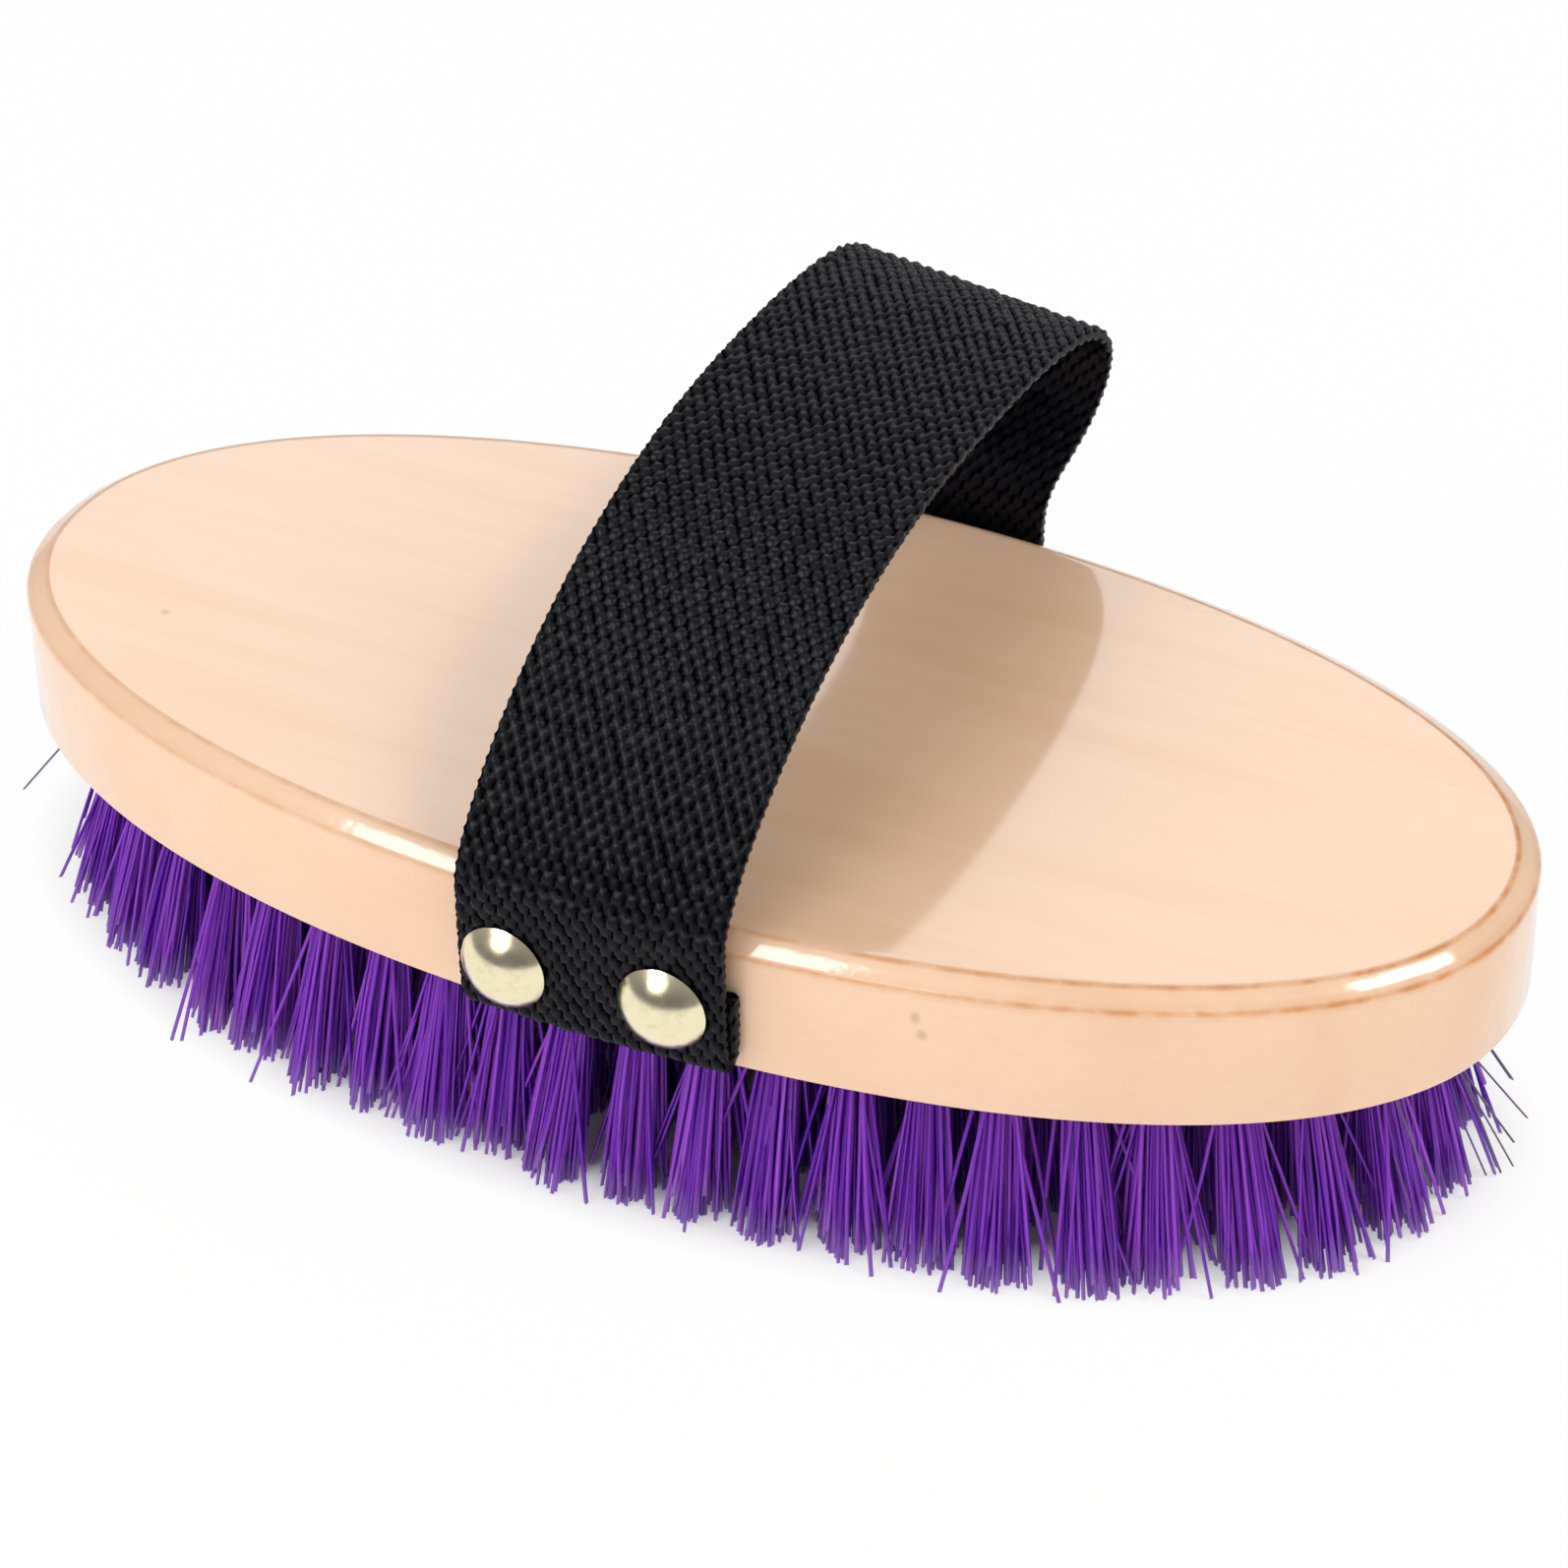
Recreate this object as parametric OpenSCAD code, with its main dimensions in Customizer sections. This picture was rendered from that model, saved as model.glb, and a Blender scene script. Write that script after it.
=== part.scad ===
// Oval body brush for grooming: a varnished wooden back, rows of bristle tufts held in drilled
// holes by wire anchors, and a webbing hand strap nailed to both long sides.
// All lengths are in millimetres. +X runs along the back, +Y to its rear side, +Z up.
// The origin lies on the plane of the bristle tips, under the middle of the back.

/* [Wooden back] */
// Length of the back
back_l = 205; // [180:1:240]
// Width of the back
back_w = 97.5; // [86:0.5:120]
// Thickness of the back
back_h = 18.5; // [16:0.5:24]
// Squareness of the oval, where 2 is an ellipse
oval_power = 2.15; // [2:0.05:2.6]
// Width of the chamfer round the top, seen from above
chamfer_in = 2.8; // [1:0.1:4]
// Height of the chamfer round the top
chamfer_down = 1.8; // [1:0.1:4]

/* [Bristles] */
// Free length of the bristles below the back
bristle_l = 27; // [20:1:36]
// Distance from the back's edge to the outer row of tufts
edge_gap = 10.5; // [7:0.5:12]
// Distance from the back's ends to the outer row of tufts
end_gap = 14; // [10:0.5:18]
// Spacing of the tufts along the outer row
edge_pitch = 9; // [7:0.5:12]
// Spacing of the tufts along the other rows
tuft_pitch = 10; // [8:0.5:14]
// Diameter of the drilled tuft holes
hole_d = 4.2; // [3.6:0.1:5]
// Depth of the drilled tuft holes from the underside
hole_depth = 6.9; // [6:0.1:8]
// Thickness of the slice of backing that the tufts of a row stand on
slice_t = 1.2; // [1:0.1:2]
// Width of that slice outside the holes of the outer row
slice_rim = 1; // [0.8:0.1:2]
// Width of one strand, corner to corner
strand_d = 1.5; // [1:0.1:1.6]
// Gap between the strands of one tuft at the root
strand_gap = 0.1; // [0.1:0.05:0.3]
// How far each strand splays from its neighbour at the tip
strand_splay = 0.9; // [0.4:0.1:1.1]
// How far the outer row's tips lean outwards
edge_lean = 7.5; // [0:0.5:9]
// How far the second row's tips lean outwards
second_lean = 4; // [0:0.5:5]
// How far the tips of these two rows are swept along the back
tip_sweep = 0.5; // [0:0.5:4]

/* [Tuft anchors] */
// How far an anchor wire bites into the wood at each end
anchor_bite = 0.5; // [0.3:0.1:0.8]
// Height of an anchor wire
anchor_h = 1.6; // [1:0.1:2]
// Thickness of an anchor wire
anchor_t = 0.5; // [0.3:0.1:0.8]
// Depth of the hole left beyond an anchor
anchor_over = 0.6; // [0.4:0.1:1]

/* [Hand strap] */
// Width of the webbing
strap_w = 35; // [28:1:38]
// Thickness of the webbing
strap_t = 1.9; // [1.4:0.1:2.2]
// Place along the back of the strap's front end
front_x = 4; // [-10:0.5:10]
// Place along the back of the strap's rear end
rear_x = 0; // [-10:0.5:10]
// Height of the strap ends' lower folds above the underside
fold_z = 0.8; // [0:0.1:2]
// Length of the folded hem above the nails
hem_over = 2.4; // [2:0.1:4]
// Sideways shift of the folded hem
hem_shift = 0.7; // [0:0.1:3]
// Height above the back's top where the strap starts to bend
foot_rise = 1; // [0.5:0.1:3]
// Height of the arch's middle line above the back's top
arch_rise = 33.9; // [30:0.1:42]
// Place of the highest line behind the middle of the back
crown_y = 21; // [0:0.1:30]
// Place of the highest line along the back
crown_x = 5; // [-10:0.1:10]
// Height of the rear turn above the back's top
turn_rise = 21.8; // [20:0.1:24]
// How far the rear turn stands past the rear edge of the back
turn_out = 13; // [8:0.1:16]
// Place of the rear turn along the back
turn_x = 5; // [-10:0.1:10]
// Sideways tilt of the arch at its highest line, in degrees
crown_tilt = -5.7; // [-8:0.1:8]
// Sideways tilt of the arch at the rear turn, in degrees
turn_tilt = -7.7; // [-8:0.1:8]
// Reach of the tight bend over the front edge
front_bend = 4.2; // [4:0.1:8]
// Reach of the long front slope under the highest line
front_sweep = 49.5; // [36:0.1:56]
// Reach of the flat top towards the rear turn
rear_sweep = 21.5; // [14:0.1:28]
// Reach of the rear turn upwards
turn_up = 9.7; // [6:0.1:11]
// Reach of the rear turn downwards
turn_down = 13.3; // [8:0.1:14]
// Reach of the rear end upwards
rear_tuck = 8.7; // [6:0.1:12]
// Height above the back's top of the part of the arch that presses down as one
press_line = 22; // [18:0.5:24]

/* [Nails] */
// Distance from a strap end's edge to the nail beside it
nail_edge = 7; // [5.5:0.5:7.5]
// Sideways shift of the two front nails
nail_shift = -0.7; // [-1:0.1:1]
// Height of the right front nail above the left one
nail_step = 0.7; // [0:0.1:0.8]
// Wood left between the tuft holes and the nails
nail_over = 1; // [0.6:0.1:2]
// Diameter of a nail's domed head
head_d = 11.4; // [8:0.1:12]
// Height of a nail's domed head
head_h = 3; // [1.5:0.1:3.5]
// Diameter of a nail's shank
shank_d = 2.2; // [1.6:0.1:2.4]
// Length of a nail's shank under the head, with its point
shank_l = 16; // [12:0.5:22]
// Length of the nail's point
point_l = 3; // [2:0.5:4]

/* [Fits] */
// Clearance of a tuft in its hole and of an anchor in its slot, each side
tuft_clear = 0.1; // [0.05:0.05:0.2]
// Gap between neighbouring slices of backing, and round the outer one
slice_gap = 0.2; // [0.1:0.05:0.3]
// Clearance of a strap end against the wood
strap_clear = 0.15; // [0.1:0.05:0.3]
// Clearance of a nail in the wood and in the webbing, each side
nail_clear = 0.05; // [0.05:0.05:0.1]
// Clearance under a nail's head
head_clear = 0.1; // [0.05:0.05:0.2]

/* [Hidden] */

$fn = 32;
hole_sides = 16;
oval_steps = 120;
slice_steps = 40;
bend_steps = 24;
bend_ease = 1.6;
band_steps = 14;
over = 1;
tip_cut = 0.5;

half_l = back_l / 2;
half_w = back_w / 2;
under_z = bristle_l;
top_z = under_z + back_h;

// Five rows share the half width: four ovals and one straight row along the middle.
oval_rows = 4;
row_step = (half_w - edge_gap) / oval_rows;
end_more = end_gap - edge_gap;
slice_edge = edge_gap - hole_d / 2 - slice_rim;

// Places that follow from the holes: the strands of a tuft, the anchors and the nails.
strand_step = strand_d + strand_gap;
anchor_l = hole_d + 2 * anchor_bite;
root_h = hole_depth - anchor_over - anchor_h - tuft_clear;
nail_z = hole_depth + nail_over + shank_d / 2;

// The layers of a strap end, outwards from the wood.
hem_in = strap_clear;
layer_in = hem_in + strap_t;
layer_out = layer_in + strap_t;
foot_y = half_w + layer_in + strap_t / 2;
foot_z = top_z + foot_rise;

// Points and outward directions on an oval with half axes a and b, t in degrees.
function signed_power(v, p) = sign(v) * pow(abs(v), p);
function oval(a, b, t) = [
    a * signed_power(cos(t), 2 / oval_power),
    b * signed_power(sin(t), 2 / oval_power)];
function oval_normal(a, b, p) =
    let (v = [signed_power(p.x / a, oval_power - 1) / a, signed_power(p.y / b, oval_power - 1) / b])
    v / norm(v);
function oval_points(a, b, steps) = [for (i = [0:steps - 1]) oval(a, b, 360 * i / steps)];
function row_points(inset, steps) = oval_points(half_l - end_more - inset, half_w - inset, steps);

// The side of the back at a place x: the point pushed out by a distance, on the side -1 or 1.
function side_y(x) = half_w * pow(1 - pow(abs(x) / half_l, oval_power), 1 / oval_power);
function side_point(x, out, side) =
    let (p = [x, side * side_y(x)])
    p + out * oval_normal(half_l, half_w, p);

// Running lengths along a list of points, as pairs for lookup: length, then index.
function run_table(points) =
    [for (i = 0, s = 0; i < len(points);
        s = s + (i + 1 < len(points) ? norm(points[i + 1] - points[i]) : 0), i = i + 1) [s, i]];

// Tufts of a row: place, outward direction.
function oval_row(inset, pitch) =
    let (
        a = half_l - end_more - inset,
        b = half_w - inset,
        table = run_table(concat(row_points(inset, oval_steps), [[a, 0]])),
        total = table[oval_steps].x,
        count = round(total / pitch))
    [for (k = [0:count - 1])
        let (p = oval(a, b, 360 * lookup(total * k / count, table) / oval_steps))
        [p, oval_normal(a, b, p)]];
function middle_row(pitch) =
    let (reach = floor((half_l - half_w - hole_d / 2) / pitch))
    [for (k = [-reach:reach]) [[k * pitch, 0], [0, 1]]];

rows = [
    oval_row(edge_gap, edge_pitch),
    oval_row(edge_gap + row_step, tuft_pitch),
    oval_row(edge_gap + 2 * row_step, tuft_pitch),
    oval_row(edge_gap + 3 * row_step, tuft_pitch),
    middle_row(tuft_pitch)];
row_lean = [edge_lean, second_lean, 0, 0, 0];
row_strands = [3, 2, 2, 2, 3];
all_tufts = [for (row = rows) for (tuft = row) tuft];

// The middle line of the arch, from the front end to the rear end, as points y, z.
function curve(p, s) =
    pow(1 - s, 3) * p[0] + 3 * pow(1 - s, 2) * s * p[1] + 3 * (1 - s) * s * s * p[2] + pow(s, 3) * p[3];
front_foot = [-foot_y, foot_z];
crown = [crown_y, top_z + arch_rise];
turn = [half_w + turn_out, top_z + turn_rise];
rear_foot = [foot_y, foot_z];
slope = [front_foot, front_foot + [0, front_bend], crown - [front_sweep, 0], crown];
roof = [crown, crown + [rear_sweep, 0], turn + [0, turn_up], turn];
fall = [turn, turn - [0, turn_down], rear_foot + [0, rear_tuck], rear_foot];
arch_line = concat(
    [for (i = [0:bend_steps]) curve(slope, pow(i / bend_steps, bend_ease))],
    [for (i = [1:bend_steps]) curve(roof, i / bend_steps)],
    [for (i = [1:bend_steps]) curve(fall, i / bend_steps)]);
arch_last = len(arch_line) - 1;
arch_run = run_table(arch_line);
arch_marks = [0, arch_run[bend_steps].x, arch_run[2 * bend_steps].x, arch_run[arch_last].x];
function along_arch(i, values) =
    lookup(arch_run[i].x, [for (k = [0:3]) [arch_marks[k], values[k]]]);
function arch_ring(i) =
    let (
        run = arch_line[min(i + 1, arch_last)] - arch_line[max(i - 1, 0)],
        lift = (strap_t / 2) * [0, -run.y, run.x] / norm(run),
        tilt = along_arch(i, [0, crown_tilt, turn_tilt, 0]),
        across = (strap_w / 2) * [cos(tilt), 0, sin(tilt)],
        mid = [along_arch(i, [front_x, crown_x, turn_x, rear_x]), arch_line[i].x, arch_line[i].y])
    [mid - across + lift, mid + across + lift, mid + across - lift, mid - across - lift];

// A round bar of few sides between two points, run on past the second one.
module strand(root, tip) {
    way = tip - root;
    reach = norm(way);
    translate(root)
        rotate([0, acos(way.z / reach), atan2(way.y, way.x)])
            cylinder(h = reach + tip_cut, d = strand_d, $fn = 3);
}

// How far the tips of a tuft stand out from its hole.
function tip_shift(outward, lean) =
    lean > 0
        ? outward * lean + [tip_sweep, 0]
        : [0, 0];

// One tuft: its root in the hole and its strands down to the tips, which lean outwards.
module tuft(place, outward, strands, lean) {
    along = [-outward.y, outward.x];
    translate([place.x, place.y, under_z + slice_t / 2])
        cylinder(h = root_h - slice_t / 2, d = hole_d - 2 * tuft_clear, $fn = 4);
    for (k = [0:strands - 1]) {
        side = k - (strands - 1) / 2;
        root = place + along * side * strand_step;
        tip = root + along * side * strand_splay + tip_shift(outward, lean);
        strand([root.x, root.y, under_z + slice_t / 2], [tip.x, tip.y, 0]);
    }
}

// The slice of backing between two insets; the inner edge may be left out.
module slice(outer_inset, inner_inset) {
    translate([0, 0, under_z])
        linear_extrude(slice_t)
            difference() {
                polygon(row_points(outer_inset + slice_gap / 2, slice_steps));
                if (inner_inset > 0) polygon(row_points(inner_inset - slice_gap / 2, slice_steps));
            }
}

// One row of tufts on its slice of backing, cut flat at the tips.
module tuft_row(k) {
    outer_inset = k == 0 ? slice_edge : edge_gap + (k - 0.5) * row_step;
    inner_inset = k == oval_rows ? 0 : edge_gap + (k + 0.5) * row_step;
    color("indigo")
        difference() {
            union() {
                slice(outer_inset, inner_inset);
                for (t = rows[k]) tuft(t[0], t[1], row_strands[k], row_lean[k]);
            }
            translate([-back_l, -back_w, -2 * over]) cube([2 * back_l, 2 * back_w, 2 * over]);
        }
}

// A flat wire over the root of every tuft, lying along its row.
module tuft_anchors() {
    color("silver")
        for (t = all_tufts)
            translate([t[0].x, t[0].y, under_z + hole_depth - anchor_over - anchor_h / 2])
                rotate([0, 0, atan2(t[1].x, -t[1].y)])
                    cube([anchor_l, anchor_t, anchor_h], center = true);
}

// The solid block with its chamfered top edge.
module back_block() {
    edge = oval_points(half_l, half_w, oval_steps);
    n = oval_steps;
    levels = [[0, under_z], [0, top_z - chamfer_down], [-chamfer_in, top_z]];
    points = [for (v = levels) for (p = edge)
        let (q = p + v[0] * oval_normal(half_l, half_w, p))
        [q.x, q.y, v[1]]];
    sides = [for (k = [0:1]) for (i = [0:n - 1])
        [k * n + i, (k + 1) * n + i, (k + 1) * n + (i + 1) % n, k * n + (i + 1) % n]];
    polyhedron(points, concat(
        sides,
        [[for (i = [0:n - 1]) i]],
        [[for (i = [n - 1:-1:0]) 2 * n + i]]));
}

// Where a nail stands: side -1 is the front and 1 the rear, hand -1 the left and 1 the right.
function nail_x(side, hand) =
    (side < 0 ? front_x + nail_shift : rear_x) + hand * (strap_w / 2 - nail_edge);
function nail_height(side, hand) = under_z + nail_z + (side < 0 ? hand * nail_step / 2 : 0);

// Something pointing straight out of the back's side at a nail.
module at_nail(side, hand) {
    x = nail_x(side, hand);
    p = side_point(x, layer_out, side);
    outward = oval_normal(half_l, half_w, [x, side * side_y(x)]);
    translate([p.x, p.y, nail_height(side, hand)])
        rotate([90, 0, atan2(outward.x, -outward.y)])
            children();
}

module nail_hole(side, hand) {
    at_nail(side, hand)
        translate([0, 0, head_clear - shank_l - over])
            cylinder(h = shank_l + 2 * over, d = shank_d + 2 * nail_clear);
}

module wooden_back() {
    color("burlywood")
        difference() {
            back_block();
            translate([0, 0, under_z - over])
                linear_extrude(slice_t + over)
                    polygon(row_points(slice_edge - slice_gap / 2, slice_steps));
            for (t = all_tufts)
                translate([t[0].x, t[0].y, under_z])
                    cylinder(h = hole_depth, d = hole_d, $fn = hole_sides);
            for (side = [-1, 1]) for (hand = [-1, 1]) nail_hole(side, hand);
        }
}

// A band of webbing that follows the back's side, between two distances from the wood.
module side_band(middle, side, inner, outer, low, high) {
    xs = [for (i = [0:band_steps]) middle + strap_w * (i / band_steps - 0.5)];
    near = [for (x = xs) side_point(x, inner, side)];
    far = [for (i = [band_steps:-1:0]) side_point(xs[i], outer, side)];
    translate([0, 0, low])
        linear_extrude(high - low)
            polygon(concat(near, far));
}

// A strap end: the outer layer, with the hem folded under it, and two nail holes.
module strap_end(middle, side) {
    low = under_z + fold_z;
    color("#1a1a1c")
        difference() {
            union() {
                side_band(middle, side, layer_in, layer_out, low, foot_z);
                side_band(middle + hem_shift, side, hem_in, layer_in, low, under_z + nail_z + hem_over);
            }
            for (hand = [-1, 1]) nail_hole(side, hand);
        }
}
module strap_end_front() { strap_end(front_x, -1); }
module strap_end_rear() { strap_end(rear_x, 1); }

// The whole free arch of the strap, swept along its middle line.
module arch() {
    points = [for (i = [0:arch_last]) each arch_ring(i)];
    walls = [for (i = [0:arch_last - 1]) for (k = [0:3])
        let (a = 4 * i + k, b = 4 * i + (k + 1) % 4)
        each [[a, b, b + 4], [a, b + 4, a + 4]]];
    polyhedron(points, concat(
        walls,
        [[3, 2, 1, 0]],
        [[for (k = [0:3]) 4 * arch_last + k]]));
}

// A stretch of the arch between two heights and two places behind the middle.
module arch_part(low, high, near, far) {
    color("#1a1a1c")
        intersection() {
            arch();
            translate([-half_l, near, low]) cube([back_l, far - near, high - low]);
        }
}
press_z = top_z + press_line;
module strap_leg_front() { arch_part(foot_z - over, press_z, -back_w, crown_y); }
module strap_leg_rear() { arch_part(foot_z - over, press_z, crown_y, back_w); }
module strap_crown() { arch_part(press_z, top_z + 2 * arch_rise, -back_w, back_w); }

// A nail: a domed head over a round shank with a point.
module nail(side, hand) {
    dome_r = (head_d * head_d / 4 + head_h * head_h) / (2 * head_h);
    color("gold")
        at_nail(side, hand)
            translate([0, 0, head_clear]) {
                intersection() {
                    translate([0, 0, head_h - dome_r]) sphere(dome_r);
                    cylinder(h = head_h + over, d = head_d);
                }
                translate([0, 0, point_l - shank_l]) cylinder(h = shank_l - point_l + over, d = shank_d);
                translate([0, 0, -shank_l]) cylinder(h = point_l, d1 = shank_d / 4, d2 = shank_d);
            }
}
module nail_front_left() { nail(-1, -1); }
module nail_front_right() { nail(-1, 1); }
module nail_rear_left() { nail(1, -1); }
module nail_rear_right() { nail(1, 1); }

wooden_back();
tuft_row(0);  // tuft_row_outer
tuft_row(1);  // tuft_row_second
tuft_row(2);  // tuft_row_third
tuft_row(3);  // tuft_row_inner
tuft_row(4);  // tuft_row_centre
tuft_anchors();
strap_end_front();
strap_end_rear();
strap_leg_front();
strap_leg_rear();
strap_crown();
nail_front_left();
nail_front_right();
nail_rear_left();
nail_rear_right();
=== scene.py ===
"""Oval body brush: varnished wooden back, bristle tufts, webbing hand strap and brass dome nails.

Lengths are millimetres in every class and become metres when a mesh is written.
"""
import logging
import math
from dataclasses import dataclass, field
from enum import Enum, IntEnum, auto

import bpy
import numpy as np
from mathutils import Matrix, Vector


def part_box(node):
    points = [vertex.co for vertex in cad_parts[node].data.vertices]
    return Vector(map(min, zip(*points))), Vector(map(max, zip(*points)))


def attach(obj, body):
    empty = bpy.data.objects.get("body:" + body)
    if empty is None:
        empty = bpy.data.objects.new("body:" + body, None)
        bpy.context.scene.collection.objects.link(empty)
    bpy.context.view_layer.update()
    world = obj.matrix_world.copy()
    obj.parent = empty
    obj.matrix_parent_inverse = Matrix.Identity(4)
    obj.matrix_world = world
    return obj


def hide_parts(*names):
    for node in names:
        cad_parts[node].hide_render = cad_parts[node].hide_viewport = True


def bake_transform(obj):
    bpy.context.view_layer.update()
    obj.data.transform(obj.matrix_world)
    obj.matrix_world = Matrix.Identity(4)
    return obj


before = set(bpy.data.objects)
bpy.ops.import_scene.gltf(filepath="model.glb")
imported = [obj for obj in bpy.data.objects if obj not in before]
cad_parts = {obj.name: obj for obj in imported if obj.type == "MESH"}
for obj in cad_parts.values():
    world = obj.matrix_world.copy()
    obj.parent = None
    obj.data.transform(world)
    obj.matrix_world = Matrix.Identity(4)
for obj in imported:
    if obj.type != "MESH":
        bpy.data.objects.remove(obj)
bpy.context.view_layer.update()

MM = 0.001
NEAR = 0.01 * MM
Pair = tuple[float, float]
Triple = tuple[float, float, float]
Socket = bpy.types.NodeSocket
log = logging.getLogger("body_brush")


class Side(Enum):
    """A long side of the back, with its direction along Y."""

    FRONT = -1
    REAR = 1


class Hand(Enum):
    """A nail of a pair, with its direction along X."""

    LEFT = -1
    RIGHT = 1


class Mark(IntEnum):
    """A place along the strap's middle line, by the number of the stretch that ends there."""

    FRONT_FOLD = 1
    FRONT_FOOT = 2
    REAR_FOOT = 5
    REAR_FOLD = 6


class LampShape(Enum):
    """The outline of a lamp's face."""

    STRIP = "RECTANGLE"
    ROUND = "ELLIPSE"


class LampUse(Enum):
    """What a lamp does for the brush."""

    LIGHT = auto()
    MIRRORED = auto()
    BOTH = auto()


def linear(code: str) -> tuple[float, float, float, float]:
    """Turn an sRGB hex colour into linear red, green, blue and alpha.

    Args:
        code: The colour, such as "#f0d0b0".

    Returns:
        The linear values, with an alpha of 1.
    """
    parts = [int(code[i:i + 2], 16) / 255 for i in (1, 3, 5)]
    red, green, blue = (p / 12.92 if p <= 0.04045 else ((p + 0.055) / 1.055) ** 2.4 for p in parts)
    return red, green, blue, 1.0


@dataclass
class NodePad:
    """A node tree, with short calls for the nodes that the finishes share."""

    tree: bpy.types.NodeTree

    def add(self, kind: str, inputs: dict | None = None, **settings: object) -> bpy.types.Node:
        """Add a shader node with its settings, input values and links.

        Args:
            kind: The node's type without its ShaderNode prefix.
            inputs: A value, or an output socket to link, for each input name or number.
            settings: The node's own options.

        Returns:
            The new node.
        """
        node = self.tree.nodes.new("ShaderNode" + kind)
        for name, value in settings.items():
            setattr(node, name, value)
        for key, value in (inputs or {}).items():
            if isinstance(value, Socket):
                self.tree.links.new(value, node.inputs[key])
            else:
                node.inputs[key].default_value = value
        return node

    def read(self, name: str) -> Socket:
        """Read a number that is stored on the mesh."""
        return self.add("Attribute", attribute_name=name).outputs["Fac"]

    def calculate(self, operation: str, *values: Socket | float) -> Socket:
        """Add a node for one sum."""
        return self.add("Math", dict(enumerate(values)), operation=operation).outputs[0]

    def place(self, *steps: float) -> Socket:
        """Count the object's own coordinates in steps.

        Args:
            steps: The step in millimetres, one for all axes or one for each.

        Returns:
            The counted place.
        """
        each = steps * 3 if len(steps) == 1 else steps
        own = self.add("TexCoord").outputs["Object"]
        return self.add("Mapping", {"Vector": own, "Scale": tuple(1 / (s * MM) for s in each)}).outputs[0]

    def noise(self, place: Socket, detail: float, roughness: float = 0.5, distortion: float = 0.0) -> Socket:
        """Add soft noise that changes about once in a step.

        Args:
            place: Where it is read.
            detail: How many finer layers it has.
            roughness: How strong they are.
            distortion: How far it is stirred.

        Returns:
            The noise, about 0.5 in the middle.
        """
        return self.add("TexNoise", {
            "Vector": place, "Scale": 1.0, "Detail": detail, "Roughness": roughness,
            "Distortion": distortion}).outputs[0]

    def ramp(self, value: Socket, start: float, end: float, low: float = 0.0, high: float = 1.0) -> Socket:
        """Turn values from start to end into values from low to high, held at both ends."""
        return self.add("MapRange", {
            "Value": value, "From Min": start, "From Max": end, "To Min": low, "To Max": high}).outputs[0]

    def mix(self, share: Socket, first: Socket | str, second: Socket | str) -> Socket:
        """Mix two colours, each a socket or an sRGB hex code, with a share of the second."""
        pair = [linear(c) if isinstance(c, str) else c for c in (first, second)]
        return self.add("Mix", {0: share, 6: pair[0], 7: pair[1]}, data_type="RGBA").outputs[2]

    def bump(self, height: Socket, strength: float, depth: float, under: Socket | None = None) -> Socket:
        """Bend the normals as a fine relief would.

        Args:
            height: The relief.
            strength: How much of it shows.
            depth: Its depth in millimetres.
            under: A relief that it lies on.

        Returns:
            The bent normal.
        """
        inputs = {"Height": height, "Strength": strength, "Distance": depth * MM}
        if under:
            inputs["Normal"] = under
        return self.add("Bump", inputs).outputs[0]

    def finish(self, surface: bpy.types.Node, kind: str = "OutputMaterial") -> None:
        """Send a shader to the output."""
        self.add(kind, {"Surface": surface.outputs[0]})


def new_material(name: str) -> bpy.types.Material:
    """Make an empty node material.

    Args:
        name: The real material's name.

    Returns:
        The material, with no nodes in its tree.
    """
    material = bpy.data.materials.new(name)
    material.use_nodes = True
    material.node_tree.nodes.clear()
    return material


def new_piece(name: str, points: np.ndarray, faces: list) -> bpy.types.Object:
    """Make a smooth mesh object at the origin from points in millimetres.

    Args:
        name: The piece's name.
        points: One row of x, y, z for each point.
        faces: The point numbers of each face.

    Returns:
        The linked object.
    """
    mesh = bpy.data.meshes.new(name)
    mesh.from_pydata((points * MM).tolist(), [], faces)
    mesh.polygons.foreach_set("use_smooth", np.ones(len(mesh.polygons), dtype=bool))
    mesh.update()
    piece = bpy.data.objects.new(name, mesh)
    bpy.context.scene.collection.objects.link(piece)
    return piece


def add_attribute(piece: bpy.types.Object, name: str, values: np.ndarray) -> None:
    """Store one number for each point of a piece, for its material to read.

    Args:
        piece: The mesh object.
        name: The attribute's name.
        values: One value for each point.
    """
    layer = piece.data.attributes.new(name, "FLOAT", "POINT")
    layer.data.foreach_set("value", np.asarray(values, dtype=np.float32).ravel())


def deselect_all() -> None:
    """Leave nothing selected, so that the next operator acts on its own piece alone."""
    bpy.ops.object.select_all(action="DESELECT")


def set_mode(mode: str) -> None:
    """Go to edit mode or to object mode."""
    bpy.ops.object.mode_set(mode=mode)


def extrude(height: float) -> None:
    """Extrude the selected faces upwards by a height in millimetres."""
    bpy.ops.mesh.extrude_region_move(TRANSFORM_OT_translate={"value": (0, 0, height * MM)})


def select_edges(piece: bpy.types.Object, height: float) -> None:
    """Select the edges of a piece that lie at one height, and go to edit mode.

    Args:
        piece: The mesh object, active and in object mode.
        height: The height in millimetres.
    """
    set_mode("EDIT")
    bpy.ops.mesh.select_mode(type="EDGE")
    bpy.ops.mesh.select_all(action="DESELECT")
    set_mode("OBJECT")
    level = [abs(v.co.z - height * MM) < NEAR for v in piece.data.vertices]
    for edge in piece.data.edges:
        edge.select = level[edge.vertices[0]] and level[edge.vertices[1]]
    set_mode("EDIT")


def smoothstep(x: np.ndarray) -> np.ndarray:
    """Ease from 0 to 1 as x goes from 0 to 1."""
    t = np.clip(x, 0.0, 1.0)
    return t * t * (3 - 2 * t)


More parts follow.
